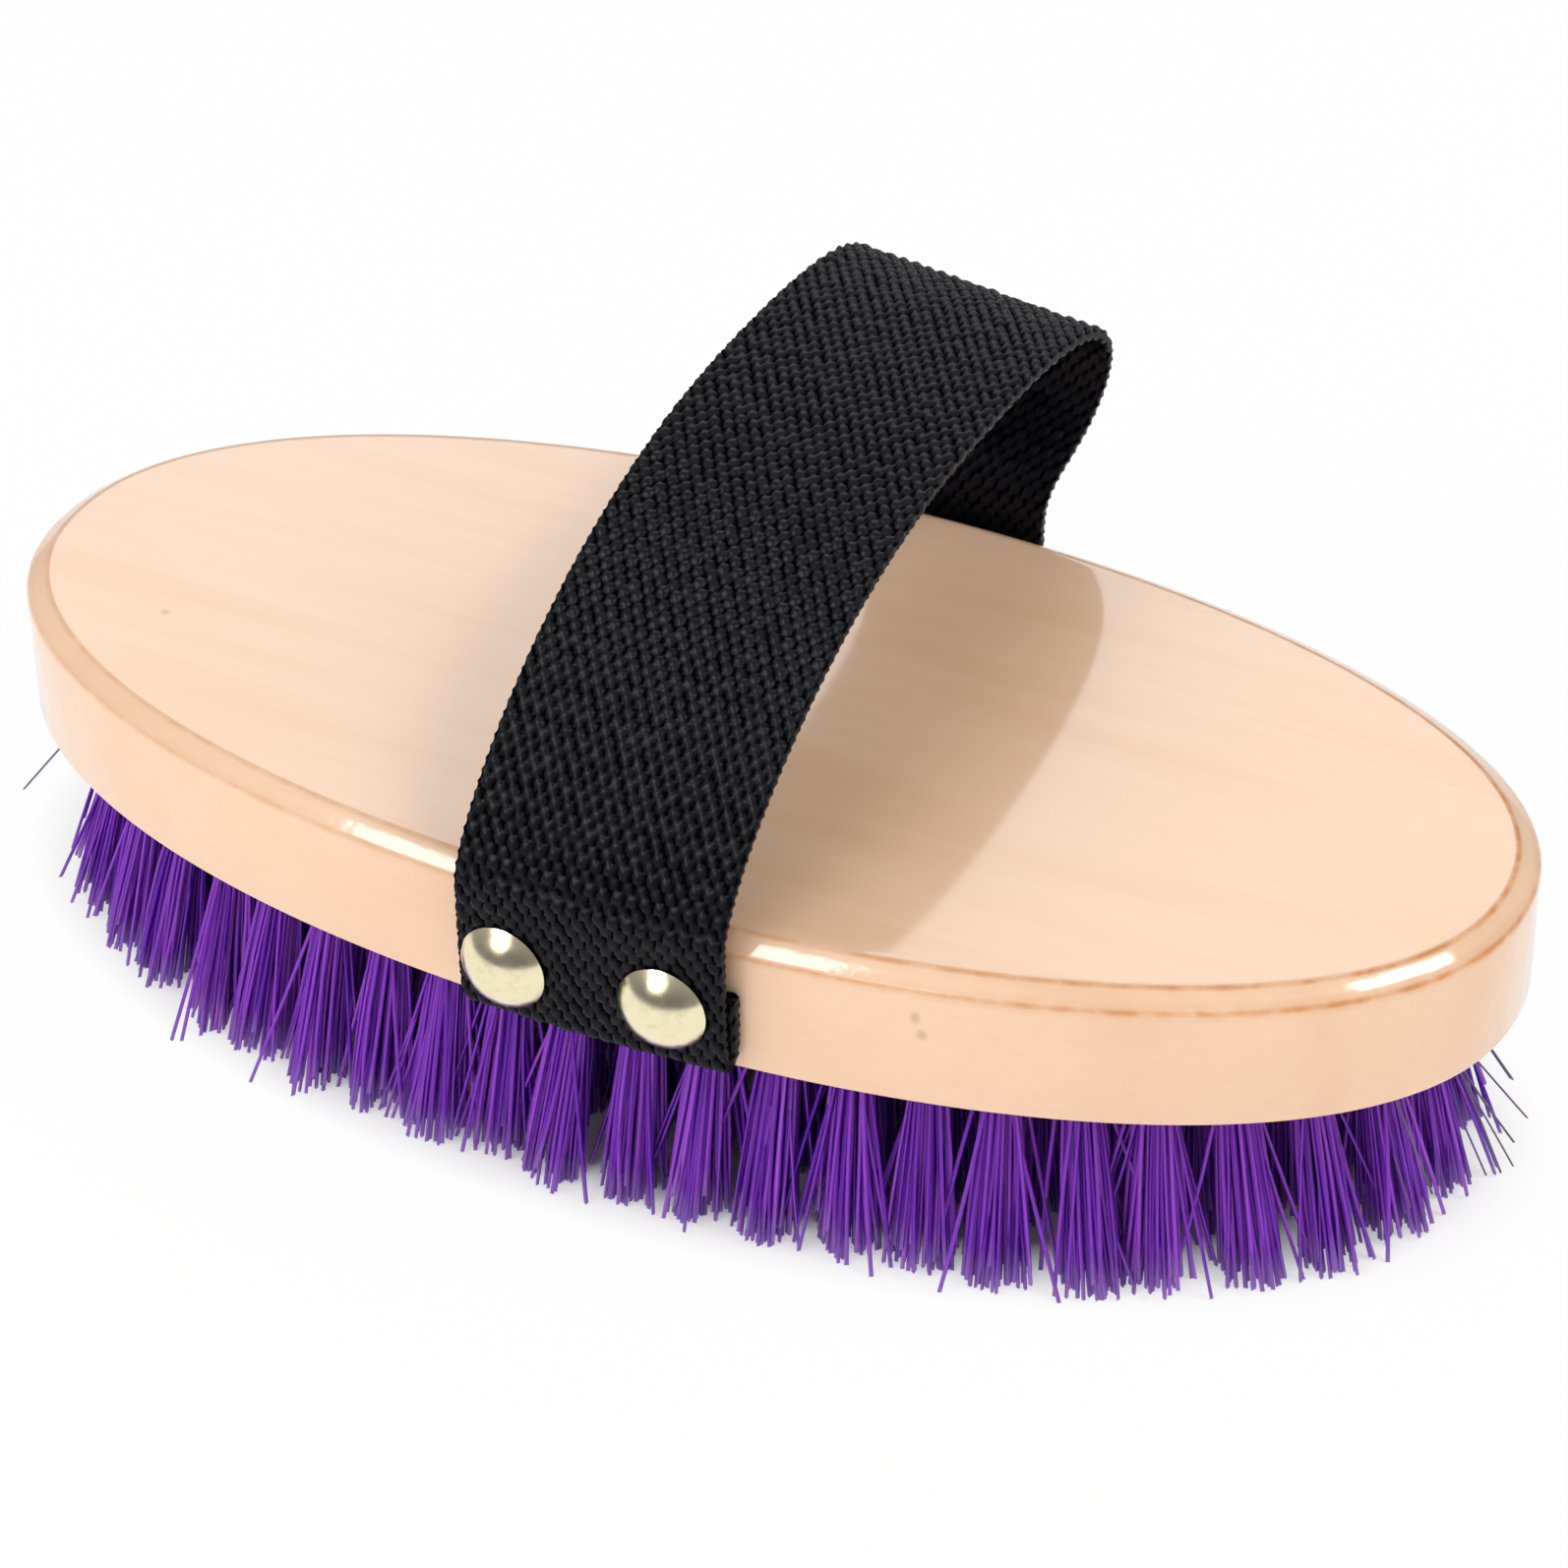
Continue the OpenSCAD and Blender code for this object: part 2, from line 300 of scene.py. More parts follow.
@dataclass(frozen=True)
class VarnishedWood:
    """Close-grained pale hardwood, sanded and sprayed with clear gloss varnish.

    The eye sees a soft peach block with faint long grain under a wet-looking coat,
    and amber where the varnish has pooled along the arrises. Beside the strap's right edge on the front,
    an orange-brown painted shadow and reflection of the strap is laid into the colour.
    """

    pale: str = "#edc8a8"
    streak: str = "#e9c19e"
    ring: str = "#e4b994"
    amber: str = "#cb7f38"
    strap_shadow: str = "#b85d27"
    fleck: str = "#9a6a44"
    grain_size: Triple = (40.0, 1.4, 1.4)
    ring_size: Triple = (7.0 / 0.12, 7.0, 28.0)
    pore_size: Triple = (5.0, 0.35, 0.35)
    fleck_size: Triple = (68.0, 34.0, 34.0)
    pool_size: float = 3.2
    chatter_size: float = 1.3
    knot_size: Triple = (1.1, 1.1, 1.4)
    knots: tuple[Triple, ...] = ((43.5, -45.0, 39.8), (44.3, -44.8, 37.4), (-76.1, -16.7, 45.5))

    def material(self) -> bpy.types.Material:
        """Build the wood's node material.

        Returns:
            The material.
        """
        material = new_material("varnished pale hardwood")
        pad = NodePad(material.node_tree)
        grain = pad.noise(pad.place(*self.grain_size), 5.0, roughness=0.6, distortion=0.4)
        rings = pad.noise(pad.place(*self.ring_size), 2.0, roughness=0.4)
        pores = pad.noise(pad.place(*self.pore_size), 2.0)
        pools = pad.noise(pad.place(self.pool_size), 3.0)
        chatter = pad.noise(pad.place(self.chatter_size), 3.0)
        cells = pad.add("TexVoronoi", {"Vector": pad.place(*self.fleck_size), "Scale": 1.0})
        wood = pad.mix(pad.ramp(grain, 0.42, 0.72, high=0.55), self.pale, self.streak)
        wood = pad.mix(pad.ramp(rings, 0.45, 0.7, high=0.45), wood, self.ring)
        wood = pad.mix(pad.ramp(pores, 0.6, 0.8, high=0.35), wood, self.ring)
        wood = pad.mix(pad.ramp(cells.outputs["Distance"], 0.028, 0.012, high=0.75), wood, self.fleck)
        knot_place = pad.place(*self.knot_size)
        for knot in self.knots:
            middle = tuple(k / size for k, size in zip(knot, self.knot_size))
            near = pad.add("VectorMath", {0: knot_place, 1: middle}, operation="DISTANCE")
            wood = pad.mix(pad.ramp(near.outputs["Value"], 0.8, 0.15, high=0.4), wood, self.fleck)
        pooled = pad.calculate("MULTIPLY", pad.read("arris"), pad.ramp(pools, 0.35, 0.62, low=0.35))
        wood = pad.mix(pooled, wood, self.amber)
        # Painted shadow and reflection of the strap: orange-brown beside its right edge on the front.
        wood = pad.mix(pad.read("strap_shadow"), wood, self.strap_shadow)
        waves = pad.calculate("MULTIPLY", pad.read("chamfer"), chatter)
        ripple = pad.bump(grain, 0.12, 0.05)
        pad.finish(pad.add("BsdfPrincipled", {
            "Base Color": wood, "Roughness": 0.42, "IOR": 1.48, "Specular IOR Level": 0.2,
            "Normal": pad.bump(pores, 0.08, 0.05), "Coat Weight": 1.0, "Coat Roughness": 0.08,
            "Coat IOR": 1.5, "Coat Normal": pad.bump(waves, 0.3, 0.06, under=ripple)}))
        return material


@dataclass(frozen=True)
class BristleFilament:
    """Extruded polypropylene filament, dyed violet and cut square at the tips.

    The eye sees smooth glossy strands, each a little lighter or darker than its neighbour,
    paler at the cut ends, where the light that comes through them is painted in as a paler colour.
    """

    dark: str = "#7c26cc"
    light: str = "#c667f6"
    tip: str = "#dfb8fa"
    stray: str = "#8d8798"

    def material(self) -> bpy.types.Material:
        """Build the filament's node material.

        Returns:
            The material.
        """
        material = new_material("violet polypropylene filament")
        pad = NodePad(material.node_tree)
        colour = pad.mix(pad.read("tint"), self.dark, self.light)
        # Painted glow: the last part of each filament is painted paler, for light coming through the cut
        # ends.
        colour = pad.mix(pad.ramp(pad.read("along"), 0.84, 1.0, high=0.6), colour, self.tip)
        colour = pad.mix(pad.read("stray"), colour, self.stray)
        gloss = pad.add("BsdfPrincipled", {"Base Color": colour, "Roughness": 0.3, "IOR": 1.49})
        through = pad.add("BsdfTranslucent", {"Color": colour})
        pad.finish(pad.add("MixShader", {0: 0.45, 1: gloss.outputs[0], 2: through.outputs[0]}))
        return material


@dataclass(frozen=True)
class BlackWebbing:
    """Heavy woven polypropylene webbing, black.

    The eye sees staggered rounded knuckles of yarn with a dull sheen and near-black gaps between them; the
    shade in the gaps is painted in, as a near-black matte shader where the knuckles are low.
    """

    # Near-black of the painted shade in the weave's gaps.
    gap_shade: str = "#050507"
    yarn: str = "#09090e"
    sheen: str = "#14141c"
    fibre_width: float = 0.12
    fibre_length: float = 1.6
    fibre_slant: float = 12.0
    wear_size: float = 9.0

    def material(self) -> bpy.types.Material:
        """Build the webbing's node material.

        Returns:
            The material.
        """
        material = new_material("black polypropylene webbing")
        pad = NodePad(material.node_tree)
        wear = pad.noise(pad.place(self.wear_size), 3.0)
        weave_place = pad.add("CombineXYZ", {0: pad.read("across"), 1: pad.read("along")})
        fibre_place = pad.add("Mapping", {
            "Vector": weave_place.outputs[0], "Rotation": (0.0, 0.0, math.radians(self.fibre_slant)),
            "Scale": (1 / self.fibre_width, 1 / self.fibre_length, 1.0)})
        fibres = pad.noise(fibre_place.outputs[0], 2.0)
        yarn = pad.add("BsdfPrincipled", {
            "Base Color": pad.mix(wear, self.yarn, self.sheen), "IOR": 1.49, "Specular IOR Level": 0.17,
            "Roughness": pad.ramp(fibres, 0.3, 0.7, low=0.3, high=0.46),
            "Normal": pad.bump(fibres, 0.35, 0.06)})
        # Painted shade: where the knuckles are low, a near-black matte shader stands in for the shade in the
        # weave's gaps.
        painted_gap_shade = pad.add("BsdfDiffuse", {"Color": linear(self.gap_shade)})
        raised = pad.ramp(pad.read("relief"), 0.16, 0.7)
        pad.finish(pad.add("MixShader", {0: raised, 1: painted_gap_shade.outputs[0], 2: yarn.outputs[0]}))
        return material


@dataclass(frozen=True)
class PolishedBrass:
    """Pale brass plating, polished by tumbling.

    The eye sees a clear mirror with faint handling marks and the rings left by the press.
    """

    metal: str = "#f6e9c6"
    dull: str = "#e6d5a2"
    mark_size: float = 1.3
    ring_pitch: float = 0.9
    ring_reach: float = 2.6

    def material(self) -> bpy.types.Material:
        """Build the brass's node material.

        Returns:
            The material.
        """
        material = new_material("polished brass plate")
        pad = NodePad(material.node_tree)
        marks = pad.noise(pad.place(self.mark_size), 4.0, roughness=0.65)
        radius = pad.read("radius")
        rings = pad.calculate("SINE", pad.calculate("MULTIPLY", radius, 2 * math.pi / self.ring_pitch))
        pressed = pad.calculate("MULTIPLY", rings, pad.ramp(radius, self.ring_reach, 0.5 * self.ring_reach))
        pad.finish(pad.add("BsdfPrincipled", {
            "Base Color": pad.mix(pad.ramp(marks, 0.5, 0.75, high=0.6), self.metal, self.dull),
            "Metallic": 1.0, "Roughness": pad.ramp(marks, 0.35, 0.75, low=0.18, high=0.3),
            "Normal": pad.bump(pressed, 0.2, 0.02)}))
        return material


@dataclass(frozen=True)
class AnchorWire:
    """Flat drawn steel wire, cut to length.

    The eye would see dull grey metal with fine lines along the draw.
    """

    bright: str = "#c3c6c9"
    dull: str = "#8d9094"
    line_width: float = 0.1

    def material(self) -> bpy.types.Material:
        """Build the wire's node material.

        Returns:
            The material.
        """
        material = new_material("drawn steel wire")
        pad = NodePad(material.node_tree)
        lines = pad.noise(pad.place(self.line_width), 2.0)
        pad.finish(pad.add("BsdfPrincipled", {
            "Base Color": pad.mix(lines, self.bright, self.dull), "Metallic": 1.0, "Roughness": 0.38}))
        return material


@dataclass(frozen=True)
class Oval:
    """The outline of the back: an oval a little squarer than an ellipse."""

    half_l: float
    half_w: float
    power: float = 2.15

    def point(self, angle: np.ndarray, inset: float = 0.0) -> np.ndarray:
        """Points on the outline drawn in by an inset.

        Args:
            angle: The parameter of each point, in radians.
            inset: The distance taken off both half axes.

        Returns:
            One row of x, y for each angle.
        """
        c, s = np.cos(angle), np.sin(angle)
        share = 2 / self.power
        return np.stack([
            (self.half_l - inset) * np.sign(c) * np.abs(c) ** share,
            (self.half_w - inset) * np.sign(s) * np.abs(s) ** share], axis=-1)

    def normal(self, points: np.ndarray, inset: float = 0.0) -> np.ndarray:
        """Outward directions at points on the outline.

        Args:
            points: Rows of x, y on the outline.
            inset: The inset of that outline.

        Returns:
            One unit row for each point.
        """
        axes = np.array([self.half_l - inset, self.half_w - inset])
        v = np.sign(points) * np.abs(points / axes) ** (self.power - 1) / axes
        return v / np.linalg.norm(v, axis=-1, keepdims=True)

    def side_y(self, x: np.ndarray) -> np.ndarray:
        """Half width of the outline at each place x."""
        return self.half_w * (1 - np.abs(x / self.half_l) ** self.power) ** (1 / self.power)


@dataclass
class WoodenBack:
    """The oval block with its chamfered top edge and drilled underside."""

    oval: Oval
    low: float
    high: float
    finish: VarnishedWood = field(default_factory=VarnishedWood)
    chamfer_in: float = 2.8
    chamfer_down: float = 1.8
    arris_round: float = 0.55
    foot_round: float = 0.35
    side_loop: float = 1.3
    pool_width: float = 0.85
    pool_reach: Pair = (-0.1, 0.85)
    pool_share: Pair = (0.35, 1.0)
    upper_pool: float = 1.25
    # The strap's right edge, where its painted shadow and reflection begin.
    strap_x: float = 19.3
    strap_shadow_width: float = 1.4
    strap_shadow_y: float = 35.0
    strap_shadow_drop: float = 6.0
    strap_shadow_fade: float = 5.0
    strap_shadow_share: float = 0.85
    chatter_fade: float = 0.4
    outline_steps: int = 1440
    round_steps: int = 4
    smooth_angle: float = 32.0
    hold_loops: tuple[float, ...] = (0.7, 1.1)
    hole_d: float = 4.2
    hole_depth: float = 6.9
    facets: int = 240
    drill_sides: int = 14

    def build(self, tufts: np.ndarray) -> bpy.types.Object:
        """Model the block and drill a hole for every tuft.

        Args:
            tufts: One row of x, y for each tuft.

        Returns:
            The finished block.
        """
        deselect_all()
        bpy.ops.mesh.primitive_circle_add(vertices=self.facets, radius=1.0, fill_type="NGON")
        block = bpy.context.object
        block.name = block.data.name = "wooden_back_block"
        for vertex in block.data.vertices:
            x, y = self.oval.point(np.array(math.atan2(vertex.co.y, vertex.co.x)))
            vertex.co = Vector((x, y, self.low)) * MM
        set_mode("EDIT")
        bpy.ops.mesh.select_all(action="SELECT")
        rise = self.high - self.low - self.chamfer_down
        for step in (rise - self.side_loop, self.side_loop):
            extrude(step)
        for _ in range(2):
            bpy.ops.mesh.inset(thickness=self.chamfer_in / 2 * MM, depth=self.chamfer_down / 2 * MM)
        set_mode("OBJECT")
        rounds = (
            (self.high, self.arris_round),
            (self.high - self.chamfer_down, self.arris_round),
            (self.low, self.foot_round))
        for height, size in rounds:
            select_edges(block, height)
            bpy.ops.mesh.bevel(offset=size * MM, segments=self.round_steps, affect="EDGES")
            set_mode("OBJECT")
        self.hold_flat_faces(block)
        self.drill(block, tufts)
        self.mark_arrises(block)
        block.data.materials.clear()
        block.data.materials.append(self.finish.material())
        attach(block, "back")
        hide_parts("wooden_back")
        return block

    def hold_flat_faces(self, block: bpy.types.Object) -> None:
        """Inset the top and the underside, so that their shading stays flat.

        Args:
            block: The block, active and in object mode.
        """
        set_mode("EDIT")
        bpy.ops.mesh.normals_make_consistent(inside=False)
        bpy.ops.mesh.select_mode(type="FACE")
        for level in (self.high, self.low):
            bpy.ops.mesh.select_all(action="DESELECT")
            set_mode("OBJECT")
            for face in block.data.polygons:
                is_level = abs(face.center.z - level * MM) < NEAR
                face.select = is_level and len(face.vertices) == self.facets
            set_mode("EDIT")
            for width in self.hold_loops:
                bpy.ops.mesh.inset(thickness=width * MM, depth=0.0)
        set_mode("OBJECT")

    def drill(self, block: bpy.types.Object, tufts: np.ndarray) -> None:
        """Cut the tuft holes with copies of one drill.

        Args:
            block: The block.
            tufts: One row of x, y for each hole.
        """
        deselect_all()
        bpy.ops.mesh.primitive_cylinder_add(
            vertices=self.drill_sides, radius=self.hole_d / 2 * MM, depth=2 * self.hole_depth * MM)
        drill = bpy.context.object
        shape = np.array([v.co for v in drill.data.vertices]) / MM
        sides = [list(f.vertices) for f in drill.data.polygons]
        points = np.concatenate([shape + (x, y, self.low) for x, y in tufts])
        faces = [[i + k * len(shape) for i in side] for k in range(len(tufts)) for side in sides]
        drills = new_piece("drills", points, faces)
        deselect_all()
        bpy.context.view_layer.objects.active = block
        block.select_set(True)
        cut = block.modifiers.new("holes", "BOOLEAN")
        cut.object = drills
        cut.operation = "DIFFERENCE"
        cut.solver = "EXACT"
        bpy.ops.object.modifier_apply(modifier=cut.name)
        bpy.data.objects.remove(drill)
        bpy.data.objects.remove(drills)
        bpy.ops.object.shade_smooth_by_angle(angle=math.radians(self.smooth_angle))

    def mark_arrises(self, block: bpy.types.Object) -> None:
        """Store where varnish pools on the arrises, where the strap's shadow and reflection are painted, and
        where the cutter left chatter.

        Args:
            block: The finished block.
        """
        points = np.array([v.co for v in block.data.vertices]) / MM
        x, y, drop = points[:, 0], points[:, 1], self.high - points[:, 2]
        outline = self.oval.point(np.linspace(0, 2 * math.pi, self.outline_steps, endpoint=False))
        inset = np.array([np.min(np.hypot(*(outline - p[:2]).T)) for p in points])
        upper = np.hypot(inset - self.chamfer_in, drop)
        lower = np.hypot(inset, drop - self.chamfer_down)
        near = 1 - smoothstep(np.minimum(upper * self.upper_pool, lower) / self.pool_width)
        drained = np.interp(x, np.array(self.pool_reach) * self.oval.half_l, self.pool_share)
        add_attribute(block, "arris", near * drained)
        # Mask for the painted shadow and reflection of the strap, on the front chamfer and side just right of
        # its edge.
        on_front = smoothstep(-y - self.strap_shadow_y) * smoothstep((self.strap_shadow_drop - drop) / self.strap_shadow_fade)
        outside = smoothstep(self.chamfer_in + 1.0 - inset)
        beside = smoothstep((self.strap_x + self.strap_shadow_width - x) / self.strap_shadow_width)
        under = smoothstep(x / self.strap_shadow_width)
        add_attribute(block, "strap_shadow", self.strap_shadow_share * beside * under * on_front * outside)
        fade = self.chatter_fade
        above = smoothstep((self.chamfer_down + fade - drop) / fade)
        add_attribute(block, "chamfer", smoothstep((self.chamfer_in + fade - inset) / fade) * above)


@dataclass(frozen=True)
class RowPlan:
    """What sets one row of tufts apart: its node, its filaments, and how far their tips lean."""

    node: str
    filaments: int
    bends: int
    lean: float
    seed: int
    sweep: float = 0.0
    strays: int = 0


ROW_PLANS = (
    RowPlan("tuft_row_outer", 100, 4, 7.5, 51, sweep=2.5, strays=16),
    RowPlan("tuft_row_second", 88, 3, 4.0, 52, sweep=2.5),
    RowPlan("tuft_row_third", 76, 2, 1.4, 53),
    RowPlan("tuft_row_inner", 66, 2, 0.4, 54),
    RowPlan("tuft_row_centre", 66, 2, 0.0, 55))


@dataclass
class TuftRow:
    """One row of bristle tufts: filaments that fan out of their holes to the cut tips.

    The tips lean outwards. The part of the lean that runs along the back is halved at its ends and
    gone at the rear, and the sweep carries the tips at the right end further to the right.
    """

    plan: RowPlan
    places: np.ndarray
    outward: np.ndarray
    root_z: float
    finish: bpy.types.Material
    sides: int = 3
    sweep_x: float = 90.0
    root_r: float = 1.85
    spread: float = 2.15
    filament_d: float = 0.6
    width_range: Pair = (0.86, 1.1)
    sunk: float = 1.0
    tint: Pair = (0.5, 0.24)
    tuft_drift: Pair = (0.8, 0.6)
    drift: Pair = (0.5, 0.55)
    loose_share: float = 0.16
    loose_along: float = 3.6
    loose_out: Pair = (0.6, 1.4)
    short_share: float = 0.16
    short_by: float = 3.4
    uneven: float = 0.8
    bow_along: float = 0.28
    bow_out: Pair = (0.1, 0.3)
    stray_facing: float = 0.8
    stray_out: Pair = (4.0, 10.0)
    stray_up: Pair = (1.0, 8.0)
    stray_thin: float = 0.6
    stray_grey: Pair = (0.5, 1.0)

    def build(self) -> bpy.types.Object:
        """Model the row's filaments as one mesh.

        Returns:
            The finished row.
        """
        rng = np.random.default_rng(self.plan.seed)
        lines, widths, stray = self.filament_lines(rng)
        count, rings = lines.shape[:2]
        turn = rng.uniform(0, 2 * math.pi, (count, 1)) + np.arange(self.sides) * 2 * math.pi / self.sides
        circle = np.stack([np.cos(turn), np.sin(turn), np.zeros_like(turn)], axis=-1)
        points = lines[:, :, None, :] + circle[:, None, :, :] * widths[:, None, None, None] / 2
        faces = self.filament_faces(count, rings)
        piece = new_piece(self.plan.node + "_filaments", points.reshape(-1, 3), faces)
        each = (count, rings, self.sides)
        tint = np.clip(rng.normal(*self.tint, count), 0, 1)
        add_attribute(piece, "tint", np.broadcast_to(tint[:, None, None], each))
        add_attribute(piece, "along", np.broadcast_to(np.linspace(0, 1, rings)[None, :, None], each))
        add_attribute(piece, "stray", np.broadcast_to(stray[:, None, None], each))
        piece.data.materials.append(self.finish)
        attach(piece, "back")
        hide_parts(self.plan.node)
        return piece

    def filament_lines(self, rng: np.random.Generator) -> tuple[np.ndarray, np.ndarray, np.ndarray]:
        """Lay out the middle line of every filament.

        Args:
            rng: The row's own random numbers.

        Returns:
            The points of each line, each filament's width, and how far it is a stray.
        """
        tufts = len(self.places)
        shape = (tufts, self.plan.filaments)
        turn = rng.uniform(0, 2 * math.pi, shape)
        reach = self.root_r * np.sqrt(rng.uniform(0, 1, shape))
        root_a, root_o = reach * np.cos(turn), reach * np.sin(turn)
        tuft_a = rng.normal(0, self.tuft_drift[0], (tufts, 1))
        tuft_o = rng.normal(0, self.tuft_drift[1], (tufts, 1))
        loose = rng.uniform(0, 1, shape) < self.loose_share
        tip_a = root_a * self.spread + tuft_a + rng.normal(0, self.drift[0], shape)
        tip_a += loose * rng.normal(0, self.loose_along, shape)
        tip_o = root_o * self.spread + tuft_o + rng.normal(0, self.drift[1], shape)
        tip_o += loose * rng.normal(*self.loose_out, shape)
        short = rng.uniform(0, 1, shape) < self.short_share
        tip_z = np.abs(rng.normal(0, self.uneven, shape)) + short * rng.uniform(0, self.short_by, shape)
        widths = self.filament_d * rng.uniform(*self.width_range, shape)
        stray = np.zeros(shape)
        strays = self.plan.strays
        if strays:
            at_end = np.clip(self.stray_facing - np.abs(self.outward[:, 1:]), 0.0, 1.0) ** 2
            chance = np.broadcast_to(at_end, shape).ravel()
            picked = rng.choice(chance.size, strays, replace=False, p=chance / chance.sum())
            at = np.unravel_index(picked, shape)
            tip_o[at] += rng.uniform(*self.stray_out, strays)
            tip_z[at] += rng.uniform(*self.stray_up, strays)
            widths[at] *= self.stray_thin
            stray[at] = rng.uniform(*self.stray_grey, strays)
        bow_a = rng.normal(0, self.bow_along, shape)
        bow_o = rng.normal(*self.bow_out, shape)
        t = np.linspace(0, 1, self.plan.bends + 1)
        bow = 4 * t * (1 - t)
        offset_a = root_a[..., None] * (1 - t) + tip_a[..., None] * t + bow_a[..., None] * bow
        offset_o = root_o[..., None] * (1 - t) + tip_o[..., None] * t + bow_o[..., None] * bow
        height = (self.root_z + self.sunk) * (1 - t) + tip_z[..., None] * t
        outward = self.outward[:, None, None, :]
        along = np.stack([-outward[..., 1], outward[..., 0]], axis=-1)
        flat = self.places[:, None, None, :] + along * offset_a[..., None] + outward * offset_o[..., None]
        shift = self.plan.lean * self.outward
        shift[:, 0] *= (1 - self.outward[:, 1]) / 2
        shift[:, 0] += self.plan.sweep * np.clip(self.places[:, 0] / self.sweep_x, 0, 1) ** 2
        flat += shift[:, None, None, :] * t[:, None]
        lines = np.concatenate([flat, height[..., None]], axis=-1)
        return lines.reshape(-1, len(t), 3), widths.ravel(), stray.ravel()

    def filament_faces(self, count: int, rings: int) -> list:
        """Number the faces of all filaments, with both ends closed.

        Args:
            count: How many filaments there are.
            rings: How many rings of points each has.

        Returns:
            The point numbers of each face.
        """
        n = self.sides
        one = [
            [r * n + k, (r + 1) * n + k, (r + 1) * n + (k + 1) % n, r * n + (k + 1) % n]
            for r in range(rings - 1) for k in range(n)]
        one.append(list(range(n)))
        one.append([(rings - 1) * n + k for k in range(n - 1, -1, -1)])
        return [[i + f * rings * n for i in face] for f in range(count) for face in one]


